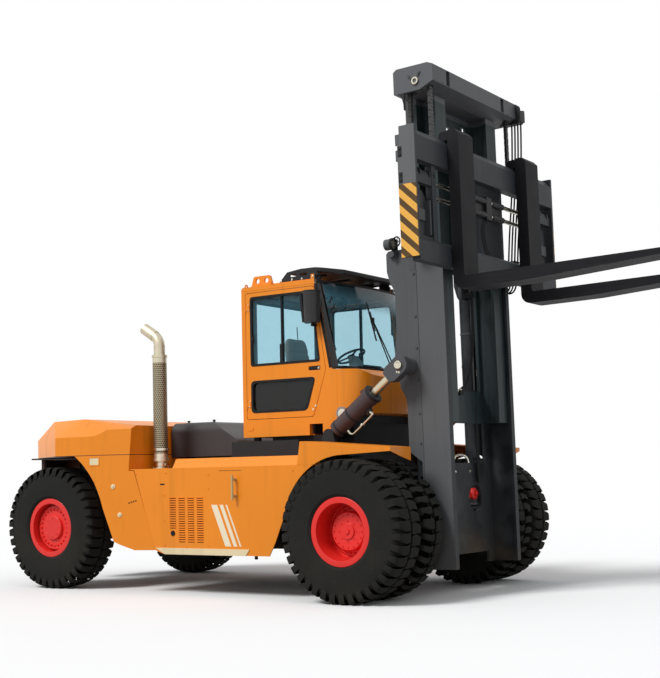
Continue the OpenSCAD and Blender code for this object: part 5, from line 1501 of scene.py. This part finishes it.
def tilt_fittings(side):
    """Gland, bands, pipe and head bolts, drawn on the cylinder's own line for the right side."""
    on_cylinder = TILT @ Matrix.Translation((0, SIDES[side] * TILT_Y, 0))
    dark = Form()
    dark.turned([(0.060, 0.0), (0.108, 0.0), (0.112, 0.006), (0.112, 0.030), (0.104, 0.036), (0.060, 0.036)],
                (0.668, 0.0, 0.0), (1, 0, 0), 48, closed=True)
    for y, z in circle(8, 0.082):
        dark.bolt((0.690, y, z), (1, 0, 0), 0.009, 0.006)
    for x in (0.12, 0.33):
        dark.turned([(0.094, 0.0), (0.099, 0.0), (0.099, 0.022), (0.094, 0.022)], (x, 0.0, 0.0), (1, 0, 0), 48,
                    closed=True)
    dark.box((0.51, -0.025, -0.125), (0.57, 0.025, -0.088), 0.005)
    dark.side_piece(side, "tilt_gland", f"tilt_cylinder_{side}", "black", on_cylinder)
    bright = Form()
    bright.pipe([(0.54, 0.0, -0.115), (0.545, 0.0, -0.145), (0.525, 0.0, -0.166), (0.40, 0.0, -0.168),
                 (0.24, 0.0, -0.168), (0.205, 0.0, -0.155), (0.19, 0.0, -0.125), (0.19, 0.0, -0.09)], 0.0125, 10)
    for start, end in (((0.54, 0.0, -0.118), (0.543, 0.0, -0.146)), ((0.19, 0.0, -0.092), (0.19, 0.0, -0.12))):
        bright.rod(start, end, 0.019, sides=6)
    bright.box((0.36, -0.025, -0.182), (0.385, 0.025, -0.155), 0.004)
    bright.side_piece(side, "tilt_pipe", f"tilt_cylinder_{side}", "zinc", on_cylinder)
    bolts = Form()
    for x, z in ((TILT_SPAN - 0.062, -0.045), (TILT_SPAN - 0.045, -0.066)):
        bolts.bolt((x, -0.06, z), (0, -1, 0), 0.009, 0.006)
    bolts.side_piece(side, "tilt_head_bolts", f"tilt_piston_{side}", "zinc", on_cylinder)


# ---------------------------------------------------------------- stage, lights and camera

FLOOR_RADIUS, FLOOR_FADE = 60, (6.0, 22.0)
SUNS = (("key", 2.35, 20, (0.3, 0.8, -0.85)), ("fill", 0.12, 60, (-0.9, 0.25, -0.3)))
FOCAL_LENGTH, CAMERA_SHIFT = 68.14, 0.119
CAMERA_PLACE, CAMERA_TURN, CAMERA_TILT, CAMERA_ROLL = (7.347, -12.559, 1.352), 34.44, 92.36, -1.2


def stage():
    form = bmesh.new()
    bmesh.ops.create_circle(form, cap_ends=True, segments=96, radius=FLOOR_RADIUS)
    data = bpy.data.meshes.new("floor")
    form.to_mesh(data)
    form.free()
    floor = bpy.data.objects.new("floor", data)
    bpy.context.scene.collection.objects.link(floor)
    shade = Shader("pale_floor")
    # The white floor thins out far away, where only the white world is left
    far = shade.ramp(shade.length(shade.x, shade.y), *FLOOR_FADE)
    # A darker floor for the light that it throws up under the truck
    matt = shade.shown("BsdfDiffuse", Color=shade.mix(shade.seen(), (0.3, 0.3, 0.3, 1), (0.92, 0.92, 0.92, 1)))
    shade.end("OutputMaterial", shade.mixed(far, matt, shade.shown("BsdfTransparent")))
    data.materials.append(shade.material)


def lights():
    world = bpy.data.worlds.new("studio")
    bpy.context.scene.world = world
    sky = Nodes(world)
    soft = sky.shown("Background", Color=(0.97, 0.985, 1.0, 1), Strength=0.55)
    white = sky.shown("Background", Color=(1, 1, 1, 1), Strength=1.0)
    sky.end("OutputWorld", sky.mixed(sky.seen(), soft, white))
    # Key from the right and above, over the camera's left shoulder, and a weak fill from the front
    for name, strength, angle, aim in SUNS:
        lamp = bpy.data.lights.new(name, "SUN")
        lamp.energy = strength
        lamp.angle = math.radians(angle)
        holder = bpy.data.objects.new(name, lamp)
        holder.rotation_euler = Vector(aim).to_track_quat("-Z", "Y").to_euler()
        bpy.context.scene.collection.objects.link(holder)


def camera():
    lens = bpy.data.cameras.new("camera")
    lens.lens = FOCAL_LENGTH
    lens.shift_y = CAMERA_SHIFT
    holder = bpy.data.objects.new("camera", lens)
    turn = rotation(CAMERA_TURN, Z) @ rotation(CAMERA_TILT, X) @ rotation(CAMERA_ROLL, Z)
    holder.matrix_world = TRUCK @ Matrix.Translation(CAMERA_PLACE) @ turn
    bpy.context.scene.collection.objects.link(holder)
    bpy.context.scene.camera = holder


wheels()
carried_nodes()
for side in SIDES:
    door_fittings(side)
cab_trim()
wiper()
cab_interior()
cab_roof_fittings()
seat()
body_fittings()
leaf_chains()
outer_mast_fittings()
inner_mast_fittings()
carriage_fittings()
for side in SIDES:
    tilt_fittings(side)
stage()
lights()
camera()
bpy.context.scene.view_settings.view_transform = "Standard"
